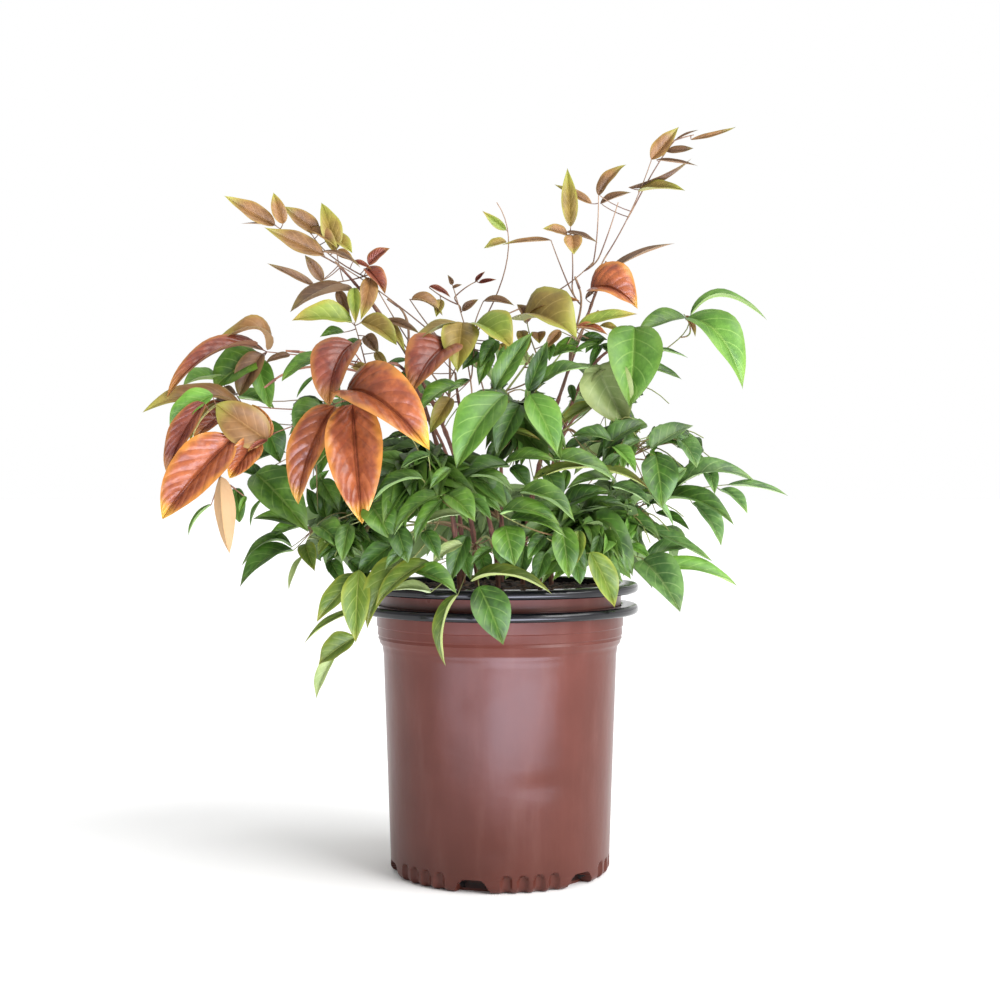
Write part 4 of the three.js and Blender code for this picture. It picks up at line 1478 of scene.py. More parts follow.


# The leading leaflets of a mass that have one tint, each with the numbers that a Lead takes. Their
# ends are points of the 1000 x 1000 picture, read one by one.
LEADS = (
    ("top_right", Tint.BRONZE, (650, 160, 678, 127, .42, -.04, 10), (690, 141, 736, 128, .14, -.05, 20),
     (598, 196, 626, 165, .36, .14, 25)),
    ("top_right", Tint.PLUM, (675, 141, 698, 130, .14, .08, 30), (666, 152, 694, 149, .36, -.04, 20),
     (656, 160, 699, 167, .14, .05, 40), (628, 188, 691, 158, .13, .12, -60, 4),
     (600, 205, 631, 193, .3, .1, 30, 6)),
    ("top_right", Tint.OLIVE, (637, 191, 686, 191, .3, .12, 40)),
    ("upright", Tint.OLIVE, (571, 228, 568, 168, .28, .05), (506, 242, 483, 249, .5, .04, -30)),
    ("upright", Tint.BRONZE, (592, 204, 554, 185, .27, -.02, -20, 5), (568, 235, 543, 229, .55, .06, -30),
     (572, 236, 573, 256, .85, .1, 0, -3), (551, 240, 501, 246, .14, .06, -40)),
    ("upright", Tint.PLUM, (566, 232, 599, 244, .24, .1, 50)),
    ("upright", Tint.LIME, (506, 231, 482, 211, .3, -.04, 30)),
    ("copper_right", Tint.PLUM, (609, 272, 675, 243, .14, .1, 50), (585, 300, 600, 287, .3, .1, 30, 3)),
    ("copper_right", Tint.COPPER, (590, 291, 638, 309, 1, .42, 30)),
    ("top_left", Tint.BRONZE, (276, 225, 225, 196, .34, -.04, -10), (283, 224, 273, 193, .46, .06, 0, -3),
     (320, 234, 282, 206, .42, -.02, -10, -2), (324, 256, 264, 228, .34, -.03, -10, -4),
     (309, 230, 337, 249, .5, .15, 40, -4)),
    ("top_left", Tint.PLUM, (277, 226, 241, 224, .08, .05, -50, 2), (322, 252, 361, 269, .2, .2, 60, -5),
     (323, 281, 305, 255, .4, .06), (314, 287, 268, 263, .22, -.02, -30)),
    ("top_left", Tint.OLIVE, (334, 252, 321, 203, .42, .08, -20), (330, 238, 353, 254, .6, .2, 35, 3)),
    ("top_left", Tint.RUST, (369, 265, 390, 248, .55, .12, 20, -4), (366, 268, 386, 294, .55, .15, 30),
     (352, 262, 372, 270, .3, .1, 30)),
    ("left_mid", Tint.DARK, (400, 392, 412, 424, .5, .1, 10, 6), (408, 360, 384, 366, .25, .1, -20, 6)),
    ("left_mid", Tint.GREEN, (388, 378, 402, 402, .5, .1, 20, 8), (362, 343, 340, 346, .35, .1, -20, 4),
     (344, 333, 320, 338, .5, .1, -30, 4)),
    ("left_mid", Tint.PLUM, (385, 320, 420, 334, .28, .1, 20, 2), (352, 290, 290, 313, .38, .16, -60),
     (338, 290, 351, 320, .3, .08, 0, 3), (366, 335, 378, 353, .6, .1, 0, 4)),
    ("left_mid", Tint.BRONZE, (336, 252, 354, 262, .5, .1, 10), (371, 278, 361, 320, .36, .08, 20, -3)),
    ("left_mid", Tint.LIME, (354, 288, 356, 324, .32, .06, 0, -6),
     (352, 323, 291, 321, .5, .11, -30, -6)),
    ("left_mid", Tint.OLIVE, (360, 323, 397, 346, .62, .2, 32, -6), (383, 318, 405, 352, .25, .12, 30, 4),
     (376, 352, 388, 372, .4, .1, 0, 6)),
    ("top_centre", Tint.PLUM, (452, 285, 447, 275, .4, .05), (453, 288, 462, 284, .35, .05),
     (463, 311, 478, 300, .4, .1), (483, 301, 515, 306, .34, .14, 40)),
    ("top_centre", Tint.RUST, (475, 282, 485, 271, .3, .05), (478, 283, 496, 279, .25, .05),
     (430, 286, 450, 298, .3, .08, 20)),
    ("top_centre", Tint.BRONZE, (411, 300, 443, 316, .5, .28, 48)),
    ("top_centre", Tint.OLIVE, (441, 300, 436, 318, .5, .05, 0, -2)),
    ("copper_left", Tint.RUST, (243, 408, 194, 440, .5, .1, -20, 4),
     (258, 345, 167, 398, .24, .28, -40, -2)),
    ("copper_left", Tint.BRONZE, (268, 350, 214, 344, .5, .74, -50, 2),
     (243, 406, 143, 413, .3, .25, -46, -6)),
    ("copper_left", Tint.PLUM, (264, 350, 221, 344, .2, .1, -40, 3), (236, 393, 217, 399, .6, .1, -10, 4),
     (262, 354, 240, 396, .55, .08, -10, 1), (290, 356, 265, 364, .35, .1, -20, 2)),
    ("copper_left", Tint.BRIGHT, (256, 358, 270, 409, .44, .08, 10, 10),
     (219, 380, 183, 384, .5, .15, -40, 8)),
    ("copper_left", Tint.GREEN, (262, 358, 214, 388, .78, .1, -24, 8)),
    ("copper_left", Tint.OLIVE, (221, 403, 190, 443, .2, .2, -50, -8)),
    ("copper_left_low", Tint.RUST, (205, 402, 169, 477, .34, .1, -20, 6),
     (268, 440, 248, 452, .3, .1, -20, -6)),
    ("copper_left_low", Tint.COPPER, (232, 438, 163, 519, .5, .06, -8, -10),
     (268, 438, 252, 404, .62, .12), (258, 440, 230, 478, .56, .08, 10, -4)),
    ("copper_left_low", Tint.BRONZE, (267, 440, 216, 405, .66, .12, 10, -4),
     (222, 476, 230, 554, .3, -.08, 165)),
    ("copper_left_low", Tint.BRIGHT, (213, 395, 171, 431, .5, .12, -20, 14)),
    ("copper_left_low", Tint.DARK, (236, 488, 240, 523, .45, .1, 10, 18)),
    ("copper_left_low", Tint.GREEN, (212, 504, 189, 535, .18, .22, -60, 12),
     (246, 497, 240, 512, .35, .1, 0, 10)),
    ("copper_front", Tint.RUST, (354, 344, 329, 406, .7, .2, -26)),
    ("copper_front", Tint.COPPER, (353, 404, 362, 524, .46, .07, 0, -8),
     (334, 406, 299, 505, .42, .12, -25), (346, 393, 430, 451, .56, .26, 20, -6)),
    ("copper_front", Tint.GREEN, (325, 356, 282, 381, .42, .16, -35, 14),
     (322, 404, 297, 434, .8, .12, -20, 12), (314, 376, 297, 398, .2, .1, -30, 12)),
    ("copper_front", Tint.OLIVE, (352, 366, 372, 376, .4, .1, 20, 4)),
    ("olive_top", Tint.DARK, (497, 340, 480, 368, .5, .1, -10, 2), (515, 345, 497, 374, .45, .1, -10, 4),
     (478, 352, 463, 370, .6, .1, 0, 6), (420, 372, 398, 386, .4, .12, -20, 8)),
    ("olive_top", Tint.OLIVE, (500, 344, 506, 357, .55, .1, 0, 3), (461, 324, 407, 355, .26, .22, -50),
     (462, 322, 457, 374, .62, .08, 0, -4), (450, 398, 430, 434, .4, .1, 0, 4),
     (440, 356, 425, 372, .5, .1, 0, 4)),
    ("olive_top", Tint.GREEN, (492, 352, 478, 386, .4, .1, -10, 5),
     (460, 387, 419, 412, .5, .22, -42, -6), (470, 380, 448, 395, .3, .1, -30, 8),
     (500, 320, 488, 345, .4, .1, 0, 6)),
    ("olive_top", Tint.LIME, (476, 324, 513, 351, .8, .2, 30, -3)),
    ("olive_top", Tint.RUST, (452, 343, 410, 398, .66, .16, -20, -2)),
    ("bronze_centre", Tint.PLUM, (528, 322, 516, 304, .7, .2, -30)),
    ("bronze_centre", Tint.LIME, (527, 338, 527, 353, .5, .05, 0, 2), (577, 327, 637, 314, .3, .06, 40)),
    ("bronze_centre", Tint.PALE, (522, 352, 528, 363, .55, .05, 0, 2)),
    ("bronze_centre", Tint.BRONZE, (538, 333, 540, 344, .9, .05, 0, 2),
     (560, 330, 545, 350, .4, .1, 0, 3)),
    ("bronze_centre", Tint.DARK, (549, 342, 550, 361, .55, .1, 0, 3),
     (602, 346, 590, 369, .35, .15, -20, 5), (580, 340, 608, 341, .45, .1, 20, 6),
     (604, 338, 585, 353, .5, .12, -20, 5)),
    ("bronze_centre", Tint.GREEN, (553, 357, 584, 352, .4, .2, 35, 3),
     (602, 343, 572, 355, .3, .2, -40, 2), (578, 342, 553, 357, .6, .12, -30, 5)),
    ("bronze_centre", Tint.RUST, (525, 322, 580, 301, .34, .22, 50)),
    ("bronze_centre", Tint.OLIVE, (523, 321, 577, 339, .95, .32, 30, -5),
     (522, 330, 524, 352, .45, .1, 0, -2), (600, 325, 622, 333, .4, .1, 30, 3)),
    ("bronze_centre", Tint.COPPER, (575, 328, 609, 335, .36, .15, 50, -3)),
    ("lime_right", Tint.BRIGHT, (634, 328, 629, 408, .62, .1, 0, -8),
     (685, 319, 742, 389, .5, .4, 30, -4), (690, 316, 768, 321, .2, .46, 64, 2)),
    ("lime_right", Tint.GREEN, (686, 318, 636, 334, .42, .08, -36), (652, 349, 688, 359, .16, .1, 55, 2),
     (641, 367, 682, 380, .3, .1, 45, 2), (640, 332, 612, 345, .4, .1, -20, 3),
     (600, 345, 620, 362, .4, .1, 20, 8)),
    ("lime_right", Tint.BRONZE, (686, 316, 695, 338, .3, .1, 20, 3)),
    ("lime_right", Tint.PALE, (597, 366, 626, 428, .76, .1, -10), (606, 369, 578, 398, .4, .3, -30, 1)),
    ("lime_right", Tint.LIME, (596, 402, 552, 433, .28, .14, -30, 2)),
    ("lime_right", Tint.DARK, (571, 384, 574, 402, .4, .05, 0, 6)),
    ("green_centre", Tint.DARK, (512, 466, 530, 490, .6, .1, 20, 2), (545, 470, 560, 503, .6, .12, 20, 3),
     (528, 392, 548, 341, .34, .06, -10), (520, 404, 497, 457, .46, .1, -10, -2),
     (510, 467, 456, 486, .46, .24, -50, -8), (500, 440, 485, 470, .4, .1, 0, 4)),
    ("green_centre", Tint.GREEN, (568, 470, 560, 496, .4, .1, 0, 4), (612, 480, 566, 490, .34, .2, -45),
     (495, 389, 532, 333, .34, .08, 10), (539, 384, 592, 368, .38, .24, 40),
     (505, 463, 555, 462, .42, .22, 48, -6), (470, 477, 515, 493, .36, .28, 56, -12),
     (552, 459, 617, 482, .36, .16, 46, -4), (545, 425, 565, 450, .4, .14, 30, 8)),
    ("green_centre", Tint.BRIGHT, (530, 394, 557, 456, .5, .12, 12, -6),
     (505, 395, 455, 472, .5, .14, -22, -8)),
    ("green_centre", Tint.LIME, (505, 430, 541, 440, .26, .12, 40, 4), (532, 480, 596, 468, .24, .16, 50),
     (556, 452, 592, 457, .22, .12, 50, 4)),
    ("green_inner_right", Tint.DARK, (612, 441, 570, 437, .48, .2, -46),
     (605, 449, 648, 424, .46, .16, 36, 4), (655, 455, 662, 507, .68, .14, 0, -10),
     (560, 511, 610, 491, .5, .2, 40, -3), (590, 440, 560, 455, .4, .16, -36, 6)),
    ("green_inner_right", Tint.MOSS, (650, 448, 693, 426, .42, .06, 36),
     (680, 441, 696, 469, .66, .16, 20, 2), (662, 489, 687, 468, .4, .1, 20, -2),
     (611, 487, 651, 506, .4, .2, 46, -6), (620, 455, 600, 480, .4, .14, -24, 2),
     (650, 495, 674, 528, .2, .12, 40, -6), (640, 440, 618, 452, .4, .14, -30, 4)),
    ("green_inner_right", Tint.LIME, (593, 470, 649, 489, .26, .18, 54, -3)),
    ("green_inner_right", Tint.BRIGHT, (613, 447, 636, 473, .4, .14, 24, -3)),
    ("green_right", Tint.MOSS, (676, 490, 757, 483, .34, .36, 52), (728, 484, 789, 496, .2, .12, 55),
     (708, 470, 714, 495, .42, .12, 0, -3), (719, 489, 748, 514, .42, .2, 40, -2),
     (692, 503, 722, 547, .46, .2, 36, -4), (638, 526, 713, 561, .24, .05, 44, -2)),
    ("green_right", Tint.DARK, (662, 499, 734, 526, .38, .26, 48, -6),
     (604, 515, 661, 539, .42, .18, 46, -6), (690, 470, 668, 495, .4, .14, -20, 4),
     (655, 512, 690, 530, .36, .14, 40, 4)),
    ("green_right_low", Tint.MOSS, (646, 558, 697, 548, .36, .18, 45),
     (643, 560, 680, 613, .58, .14, 12, -8)),
    ("green_right_low", Tint.BRIGHT, (657, 566, 738, 587, .3, .16, 48, -4),
     (630, 545, 650, 560, .4, .1, 20, 2)),
    ("green_right_low", Tint.DARK, (576, 518, 633, 576, .5, .18, 26, -10),
     (615, 520, 640, 545, .4, .14, 24, 4)),
    ("front_rim_right", Tint.DARK, (500, 540, 512, 574, .6, .1, -4, 10),
     (525, 545, 520, 580, .55, .1, 0, 12), (546, 552, 536, 583, .55, .1, -8, 12),
     (480, 552, 488, 580, .6, .1, 0, 12), (574, 555, 580, 584, .6, .1, 6, 12),
     (463, 550, 470, 580, .5, .1, 0, 12), (545, 535, 528, 560, .5, .14, -14, -3),
     (566, 540, 585, 572, .5, .14, 14, -3), (600, 535, 592, 562, .4, .12)),
    ("front_rim_right", Tint.GREEN, (562, 528, 569, 578, .52, .12, 0, -8),
     (500, 514, 561, 525, .46, .3, 52, -14), (510, 519, 568, 539, .42, .24, 48, -12),
     (520, 493, 575, 522, .46, .26, 46, -9)),
    ("front_rim_right", Tint.FERN, (579, 530, 577, 563, .45, .1, 0, -6),
     (590, 552, 614, 608, .42, .12, 10, -12)),
    ("front_rim", Tint.FERN, (470, 581, 553, 594, .26, .3, 60, -8),
     (457, 594, 446, 667, .26, .26, -58, -10), (430, 561, 376, 608, .36, .2, -40, -8)),
    ("front_rim", Tint.DARK, (479, 586, 504, 645, .62, .12, 10, -16),
     (468, 535, 451, 582, .46, .14, -14, -8)),
    ("front_rim", Tint.PALE, (431, 593, 389, 591, .36, .18, -50, -6),
     (462, 544, 433, 562, .42, .14, -30, -12)),
    ("front_rim", Tint.GREEN, (414, 572, 457, 595, .52, .2, 38, -12),
     (505, 526, 515, 567, .8, .12, 0, -18), (492, 548, 470, 566, .4, .14, -20, -10),
     (520, 560, 505, 580, .4, .1, -10)),
    ("green_front", Tint.GREEN, (318, 525, 343, 550, .66, .16, 20, -3),
     (350, 524, 342, 562, .5, .1, -8, -4), (371, 505, 392, 541, .76, .12, 10, -1),
     (423, 478, 372, 503, .34, .28, -52, -1), (443, 494, 394, 537, .36, .26, -46, -1),
     (442, 500, 414, 543, .34, .2, -36, -3), (447, 494, 475, 522, .68, .14, 20, -5),
     (410, 545, 385, 570, .44, .14, -20, -1), (450, 468, 430, 490, .4, .14, -20, -2)),
    ("green_front", Tint.DARK, (397, 528, 408, 563, .6, .12, 0, -1),
     (425, 530, 440, 560, .5, .12, 10, -3), (470, 500, 492, 520, .4, .14, 30, -3),
     (412, 436, 385, 441, .4, .16, -40, 4), (430, 455, 400, 470, .4, .18, -40)),
    ("green_front", Tint.PALE, (460, 515, 417, 529, .3, .2, -50, -3)),
    ("green_left", Tint.DARK, (318, 515, 306, 488, .5, .1, -10, 6), (332, 516, 345, 490, .5, .1, 10, 8),
     (345, 520, 352, 497, .6, .1, 10, 8), (276, 468, 300, 508, .56, .12, 10),
     (264, 479, 230, 470, .5, .16, -36, 4), (286, 452, 250, 463, .42, .16, -42, 4),
     (264, 420, 281, 464, .62, .1, 10, 4), (352, 470, 372, 500, .46, .12, 14, 2)),
    ("green_left", Tint.GREEN, (326, 518, 322, 482, .5, .1, 0, 8), (255, 474, 308, 533, .52, .12, 12, -8),
     (238, 398, 276, 409, .46, .2, 44, 6), (330, 440, 318, 478, .46, .12, -10, 6),
     (322, 480, 340, 512, .5, .12, 10, -2)),
    ("green_left", Tint.BRIGHT, (312, 490, 330, 470, .4, .1, 10, 6)),
    ("green_left_low", Tint.FERN, (330, 538, 318, 556, .5, .1, -10, -2),
     (305, 543, 314, 572, .5, .1, 0, -2)),
    ("green_left_low", Tint.DARK, (345, 548, 326, 562, .5, .12, -20, 2),
     (294, 550, 240, 588, .46, .26, -46, -4), (330, 560, 345, 590, .4, .12, 10, 2)),
    ("green_left_low", Tint.PALE, (306, 541, 330, 545, .16, .3, 40, -1),
     (304, 556, 289, 592, .2, .14, -40)),
    ("green_left_low", Tint.GREEN, (291, 547, 241, 566, .34, .5, -54),
     (262, 500, 251, 527, .2, .22, -50, 2), (308, 531, 252, 519, .4, .2, -44, -2),
     (300, 526, 268, 541, .42, .16, -40), (335, 545, 318, 560, .4, .12, -20, 2)),
    ("droop_left", Tint.FERN, (355, 637, 318, 665, .56, .06, -24), (362, 611, 304, 645, .18, .22, -55),
     (360, 575, 317, 622, .4, .1, -30, -4), (359, 570, 356, 643, .4, .08, -4, -8),
     (404, 558, 368, 629, .4, .2, -24, -7), (395, 572, 372, 600, .46, .14, -20, -4)),
    ("droop_left", Tint.PALE, (336, 654, 316, 700, .3, .14, -30)),
    ("droop_left", Tint.DARK, (392, 545, 357, 577, .5, .1, -10, 2),
     (350, 560, 372, 585, .46, .12, 14, 2)),
)

# The bare stalks of a mass: the points of each one's curve in the 1000 x 1000 picture, read one by one.
BARE_STALKS = (
    ("top_right", ((607, 256), (622, 232), (636, 204), (650, 161)),
     ((634, 206), (654, 168), (668, 149), (676, 141)), ((676, 141), (686, 138), (694, 136))),
    ("upright", ((547, 296), (572, 284), (594, 262)), ((569, 287), (559, 264), (551, 240)),
     ((572, 284), (573, 262), (570, 230)), ((594, 262), (598, 236), (598, 197)),
     ((600, 256), (610, 230), (618, 203)), ((472, 340), (508, 284), (520, 236), (496, 203))),
    ("copper_right", ((584, 320), (594, 303), (599, 288))),
    ("top_left", ((441, 341), (400, 306), (364, 277), (320, 256)), ((364, 277), (322, 256), (310, 230)),
     ((322, 256), (296, 240), (276, 225))),
    ("left_mid", ((423, 361), (396, 326), (366, 268)), ((408, 350), (386, 318), (360, 286)),
     ((366, 364), (360, 344), (354, 322)), ((364, 277), (344, 283), (322, 283))),
    ("top_centre", ((472, 350), (462, 318), (452, 285)), ((456, 297), (466, 286), (477, 282)),
     ((441, 341), (424, 322), (410, 300)), ((457, 304), (444, 300), (430, 288)),
     ((470, 340), (476, 318), (484, 301))),
    ("copper_left", ((356, 362), (318, 357), (298, 356), (268, 352)),
     ((336, 408), (296, 411), (272, 409), (243, 405))),
    ("copper_left_low", ((350, 414), (322, 416), (296, 424), (264, 437)),
     ((264, 437), (246, 438), (228, 436)), ((264, 437), (240, 450), (219, 477))),
    ("copper_front", ((384, 392), (372, 376), (352, 384), (353, 404)),
     ((384, 392), (366, 368), (354, 352)), ((360, 400), (345, 400), (334, 405))),
    ("olive_top", ((470, 380), (466, 350), (461, 323)), ((472, 372), (474, 345), (478, 322))),
    ("bronze_centre", ((540, 360), (530, 340), (526, 317)), ((562, 352), (572, 338), (577, 326))),
    ("lime_right", ((590, 410), (630, 372), (662, 350), (693, 337), (688, 317)),
     ((690, 330), (690, 322), (684, 315)), ((640, 366), (636, 345), (634, 328))),
    ("green_right", ((590, 520), (630, 506), (668, 489), (728, 484)),
     ((668, 489), (690, 478), (708, 470))),
    ("green_right_low", ((590, 545), (620, 552), (656, 561))),
    ("droop_left", ((400, 570), (376, 590), (362, 612), (354, 636))),
)


# --- limbs


@dataclass(frozen=True)
class Limb:
    """A tapering cane or leaf stalk with swollen joints."""

    name: str
    node: str
    curve: Bezier
    foot_radius: float
    tip_radius: float
    finish: Plain
    slot: str
    sides: int
    joint_pitch: float
    joint_swell: float
    ribs: int

    RIB_DEPTH = 0.05
    RING_STEP = 1.4 * MM
    JOINT_LENGTH = 2.2 * MM
    MARGINS = (0.6, 0.3)  # of a joint's pitch, left bare at the foot and the tip

    def build(self) -> None:
        """Builds the limb with its ribs and joints in relief."""
        length = self.curve.length
        first, last = (self.joint_pitch * margin for margin in self.MARGINS)
        joints = np.arange(first, length - last, self.joint_pitch)

        def radius(share: np.ndarray, angle: np.ndarray) -> np.ndarray:
            """The taper, with fine ribs, swollen joints and a rough skin."""
            along = share * length
            plain = lerp(self.foot_radius, self.tip_radius, share)
            swell = 0 * along
            for joint in joints:
                swell = swell + np.exp(-(((along - joint) / self.JOINT_LENGTH) ** 2))
            ribbed = self.RIB_DEPTH * np.cos(self.ribs * angle + 9 * share)
            rough = 0.5 * self.RIB_DEPTH * np.sin(along / MM * 1.7 + 3 * angle)
            return plain * (1 + self.joint_swell * swell + ribbed + rough)

        rings = max(6, math.ceil(length / self.RING_STEP))
        shape = TUBES.tube(self.curve, rings, self.sides, radius, self.finish)
        Piece(self.name, self.slot, [self.node], [shape]).build()


class Clump:
    """The whole plant: its canes, leaf stalks and masses, grown by one seeded rule."""

    def __init__(self) -> None:
        """Lays the limbs out, then the ribs of every mass."""
        self.masses = [*FRONT_MASSES, *(mass for ring in BACK_RINGS for mass in ring.masses())]
        by_name = {mass.name: mass for mass in self.masses}
        self.canes = [
            self._cane(number, foot, by_name[top]) for number, (foot, top) in enumerate(CANE_FEET, 1)
        ]
        self.stalks = [self._stalk(mass) for mass in self.masses if mass.cane]
        room = Room([*self.canes, *self.stalks])
        self.sprays: list[Spray] = []
        for number, mass in enumerate(self.masses):
            spray = Spray(mass, number, room)
            spray.grow_ribs([rib for other in self.sprays for rib in other.ribs])
            self.sprays.append(spray)

    @staticmethod
    def _limb_curve(start: np.ndarray, first_way: np.ndarray, mass: Mass) -> Bezier:
        """A limb from its start, in its first direction, to a mass's stem."""
        end = mass.foot
        reach = float(np.linalg.norm(end - start)) / 3
        return Bezier(np.array([start, start + first_way * reach, end - mass.ahead * reach, end]))

    def _cane(self, number: int, foot: np.ndarray, mass: Mass) -> Limb:
        """The cane that carries a mass on its tip."""
        curve = self._limb_curve(foot, UP, mass)
        return Limb(f"cane_{number}_bark", f"cane_{number}", curve, 1.55 * MM, 0.7 * MM, Plain.BARK,
                    "cane", sides=18, joint_pitch=21 * MM, joint_swell=0.3, ribs=6)

    def _stalk(self, mass: Mass) -> Limb:
        """The stalk that carries a mass, from inside its cane."""
        cane = self.canes[mass.cane - 1]
        centre = cane.curve.at(mass.share)[0]
        along = cane.curve.ways(mass.share)[0]
        outward = mass.foot - centre
        outward = unit(outward - along * (outward @ along))
        curve = self._limb_curve(centre, unit(outward + along), mass)
        bark = mass.kind.value.twig
        return Limb(f"stalk_{mass.name}", f"bough_{mass.name}", curve, 0.9 * MM, 0.6 * MM, bark,
                    "bough", sides=10, joint_pitch=34 * MM, joint_swell=0.28, ribs=4)

    def build(self) -> None:
        """Builds the canes, the stalks and each mass's twigs and leaflets."""
        for limb in (*self.canes, *self.stalks):
            limb.build()
        outline = Outline([lead for spray in self.sprays for lead in spray.leads])
        for spray in self.sprays:
            if spray.habit.grown:
                spray.grow_extra_ribs(outline)
            spray.grow_leads()
            if spray.habit.grown:
                others = [rib for other in self.sprays if other is not spray for rib in other.ribs]
                spray.grow_leaflets(others, outline)
            spray.build()


# --- growth


class Near:
    """Says how near a place is to a set of points."""

    def __init__(self, points: np.ndarray) -> None:
        """Keeps the points in a tree."""
        self.tree = kdtree.KDTree(len(points))
        for number, point in enumerate(points):
            self.tree.insert(Vector(point), number)
        self.tree.balance()
        self.empty = len(points) == 0

    def distance(self, point: np.ndarray) -> float:
        """The distance to the nearest point."""
        return math.inf if self.empty else self.tree.find(Vector(point))[2]


class Room:
    """The space that limbs and the pot leave free."""

    LIMB_CLEAR = 1.6 * MM
    POT_CLEAR = 2.6 * MM
    STEP = 3 * MM
    RIM = 174.6 * MM
    LIP = 84 * MM

    def __init__(self, limbs: Sequence[Limb]) -> None:
        """Notes where the limbs run, the thick ones and the thin ones apart."""
        dotted = [(limb.foot_radius, limb.curve.dotted(self.STEP)) for limb in limbs]
        self.groups = [
            (thick, Near(np.concatenate([dots for radius, dots in dotted if radius == thick])))
            for thick in sorted({radius for radius, _ in dotted})
        ]
        self.dots = np.concatenate([dots for _, dots in dotted])

    def is_free(self, point: np.ndarray) -> bool:
        """Whether a place is clear of the limbs and the pot."""
        within_lip = math.hypot(point[0], point[1]) < self.LIP + self.POT_CLEAR
        floor = self.RIM if within_lip else 0
        return point[2] > floor + self.POT_CLEAR and all(
            near.distance(point) - radius > self.LIMB_CLEAR for radius, near in self.groups
        )


@dataclass(frozen=True)
class Rib:
    """A rib of a compound leaf, from the fork to its end leaflet's root, and its tip."""

    tip: np.ndarray
    blade: float
    curve: Bezier

    def dots(self, step: float) -> np.ndarray:
        """Places along the rib and its end leaflet's midrib."""
        midrib = Bezier(np.array([self.curve.points[-1], self.tip]))
        return np.concatenate([self.curve.dotted(step), midrib.dotted(step)])


@dataclass(frozen=True)
class Growth:
    """The rule's numbers, as the solids have them."""

    seed: int = 7920
    blade_share: float = 0.92
    longest_blade: float = 0.94
    short_rib: float = 0.12
    rib_arch: float = 0.12
    rib_end_rise: float = 0.2
    rib_tries: int = 8
    try_turn: float = 2.4
    try_shift: float = 2.5 * MM
    try_lift: float = 0.5
    blade_tries: int = 14
    last_try: float = 0.72
    outer_pair: float = 0.86
    pair_step: float = 0.17
    blade_turn: float = 62.0
    turn_spread: float = 50.0
    layer: float = 0.22
    rise_spread: float = 0.9
    face_up: float = 0.8
    face_spread: float = 0.9
    look_ahead: float = 110 * MM
    back_half: float = 45 * MM
    sag: float = 0.2
    big_sag: float = 0.12
    sag_spread: tuple[float, float] = (0.7, 1.9)
    length_spread: tuple[float, float] = (0.85, 1.15)
    outer_share: float = 0.95
    inner_share: float = 0.7
    rib_root: float = 0.8 * MM
    rib_spacing: float = 1.7 * MM
    rib_clear: float = 2.2 * MM
    space: float = 1.0 * MM
    root_points: int = 3
    tested: tuple[float, ...] = (0.4, 0.7, 1.0)


RULE = Growth()


@dataclass(frozen=True)
class Blade:
    """Where the rule puts a blade: its root, its tip and the way its upper side faces."""

    root: np.ndarray
    tip: np.ndarray
    face: np.ndarray

    def points(self) -> np.ndarray:
        """The places that are tested along the blade."""
        return lerp(self.root, self.tip, np.array(RULE.tested)[:, None])


class Outline:
    """Keeps the plant's outline from the front: what grows by the rule stays behind the leads."""

    CELL = 1 * MM
    ORIGIN = mm(-260, 0)
    CELLS = (520, 520)
    FRINGE = 2  # cells beyond a leading leaflet where anything may still show
    HEART_FRINGE = 11  # the same in the crown's heart, where nothing shows through
    HEART = (mm(-5, 217), mm(90, 45))  # the heart's middle and half size, as seen
    BEHIND = 4 * MM

    def __init__(self, leads: Sequence[Leaflet]) -> None:
        """Notes in a grid of cells how deep the leading leaflets lie where each is seen."""
        dots = np.concatenate([lead.shape().corners for lead in leads])
        cells = self._cells(dots)
        middle, half = self.HEART
        self.depths = np.full(self.CELLS, np.inf)
        steps = np.arange(-self.HEART_FRINGE, self.HEART_FRINGE + 1)
        for step in itertools.product(steps, steps):
            near = cells + step
            off = np.abs(self.ORIGIN + near * self.CELL - middle) / half
            away = math.hypot(*step)
            shown = (away <= self.FRINGE) | ((away <= self.HEART_FRINGE) & (off.max(axis=1) < 1))
            np.minimum.at(self.depths, tuple(near[shown].T), dots[shown, 1])

    def _cells(self, points: np.ndarray) -> np.ndarray:
        """The cells where places are seen."""
        return np.round((FRONT.seen(points) - self.ORIGIN) / self.CELL).astype(int)

    def leaves_room(self, points: np.ndarray) -> bool:
        """Whether something at these places stays within the outline and behind the leads."""
        return bool(np.all(points[:, 1] > self.depths[tuple(self._cells(points).T)] + self.BEHIND))


@dataclass(frozen=True)
class Gauge:
    """How thick a twig is at its foot and its tip, and the rings and sides of its mesh."""

    foot: float
    tip: float
    rings: int
    sides: int


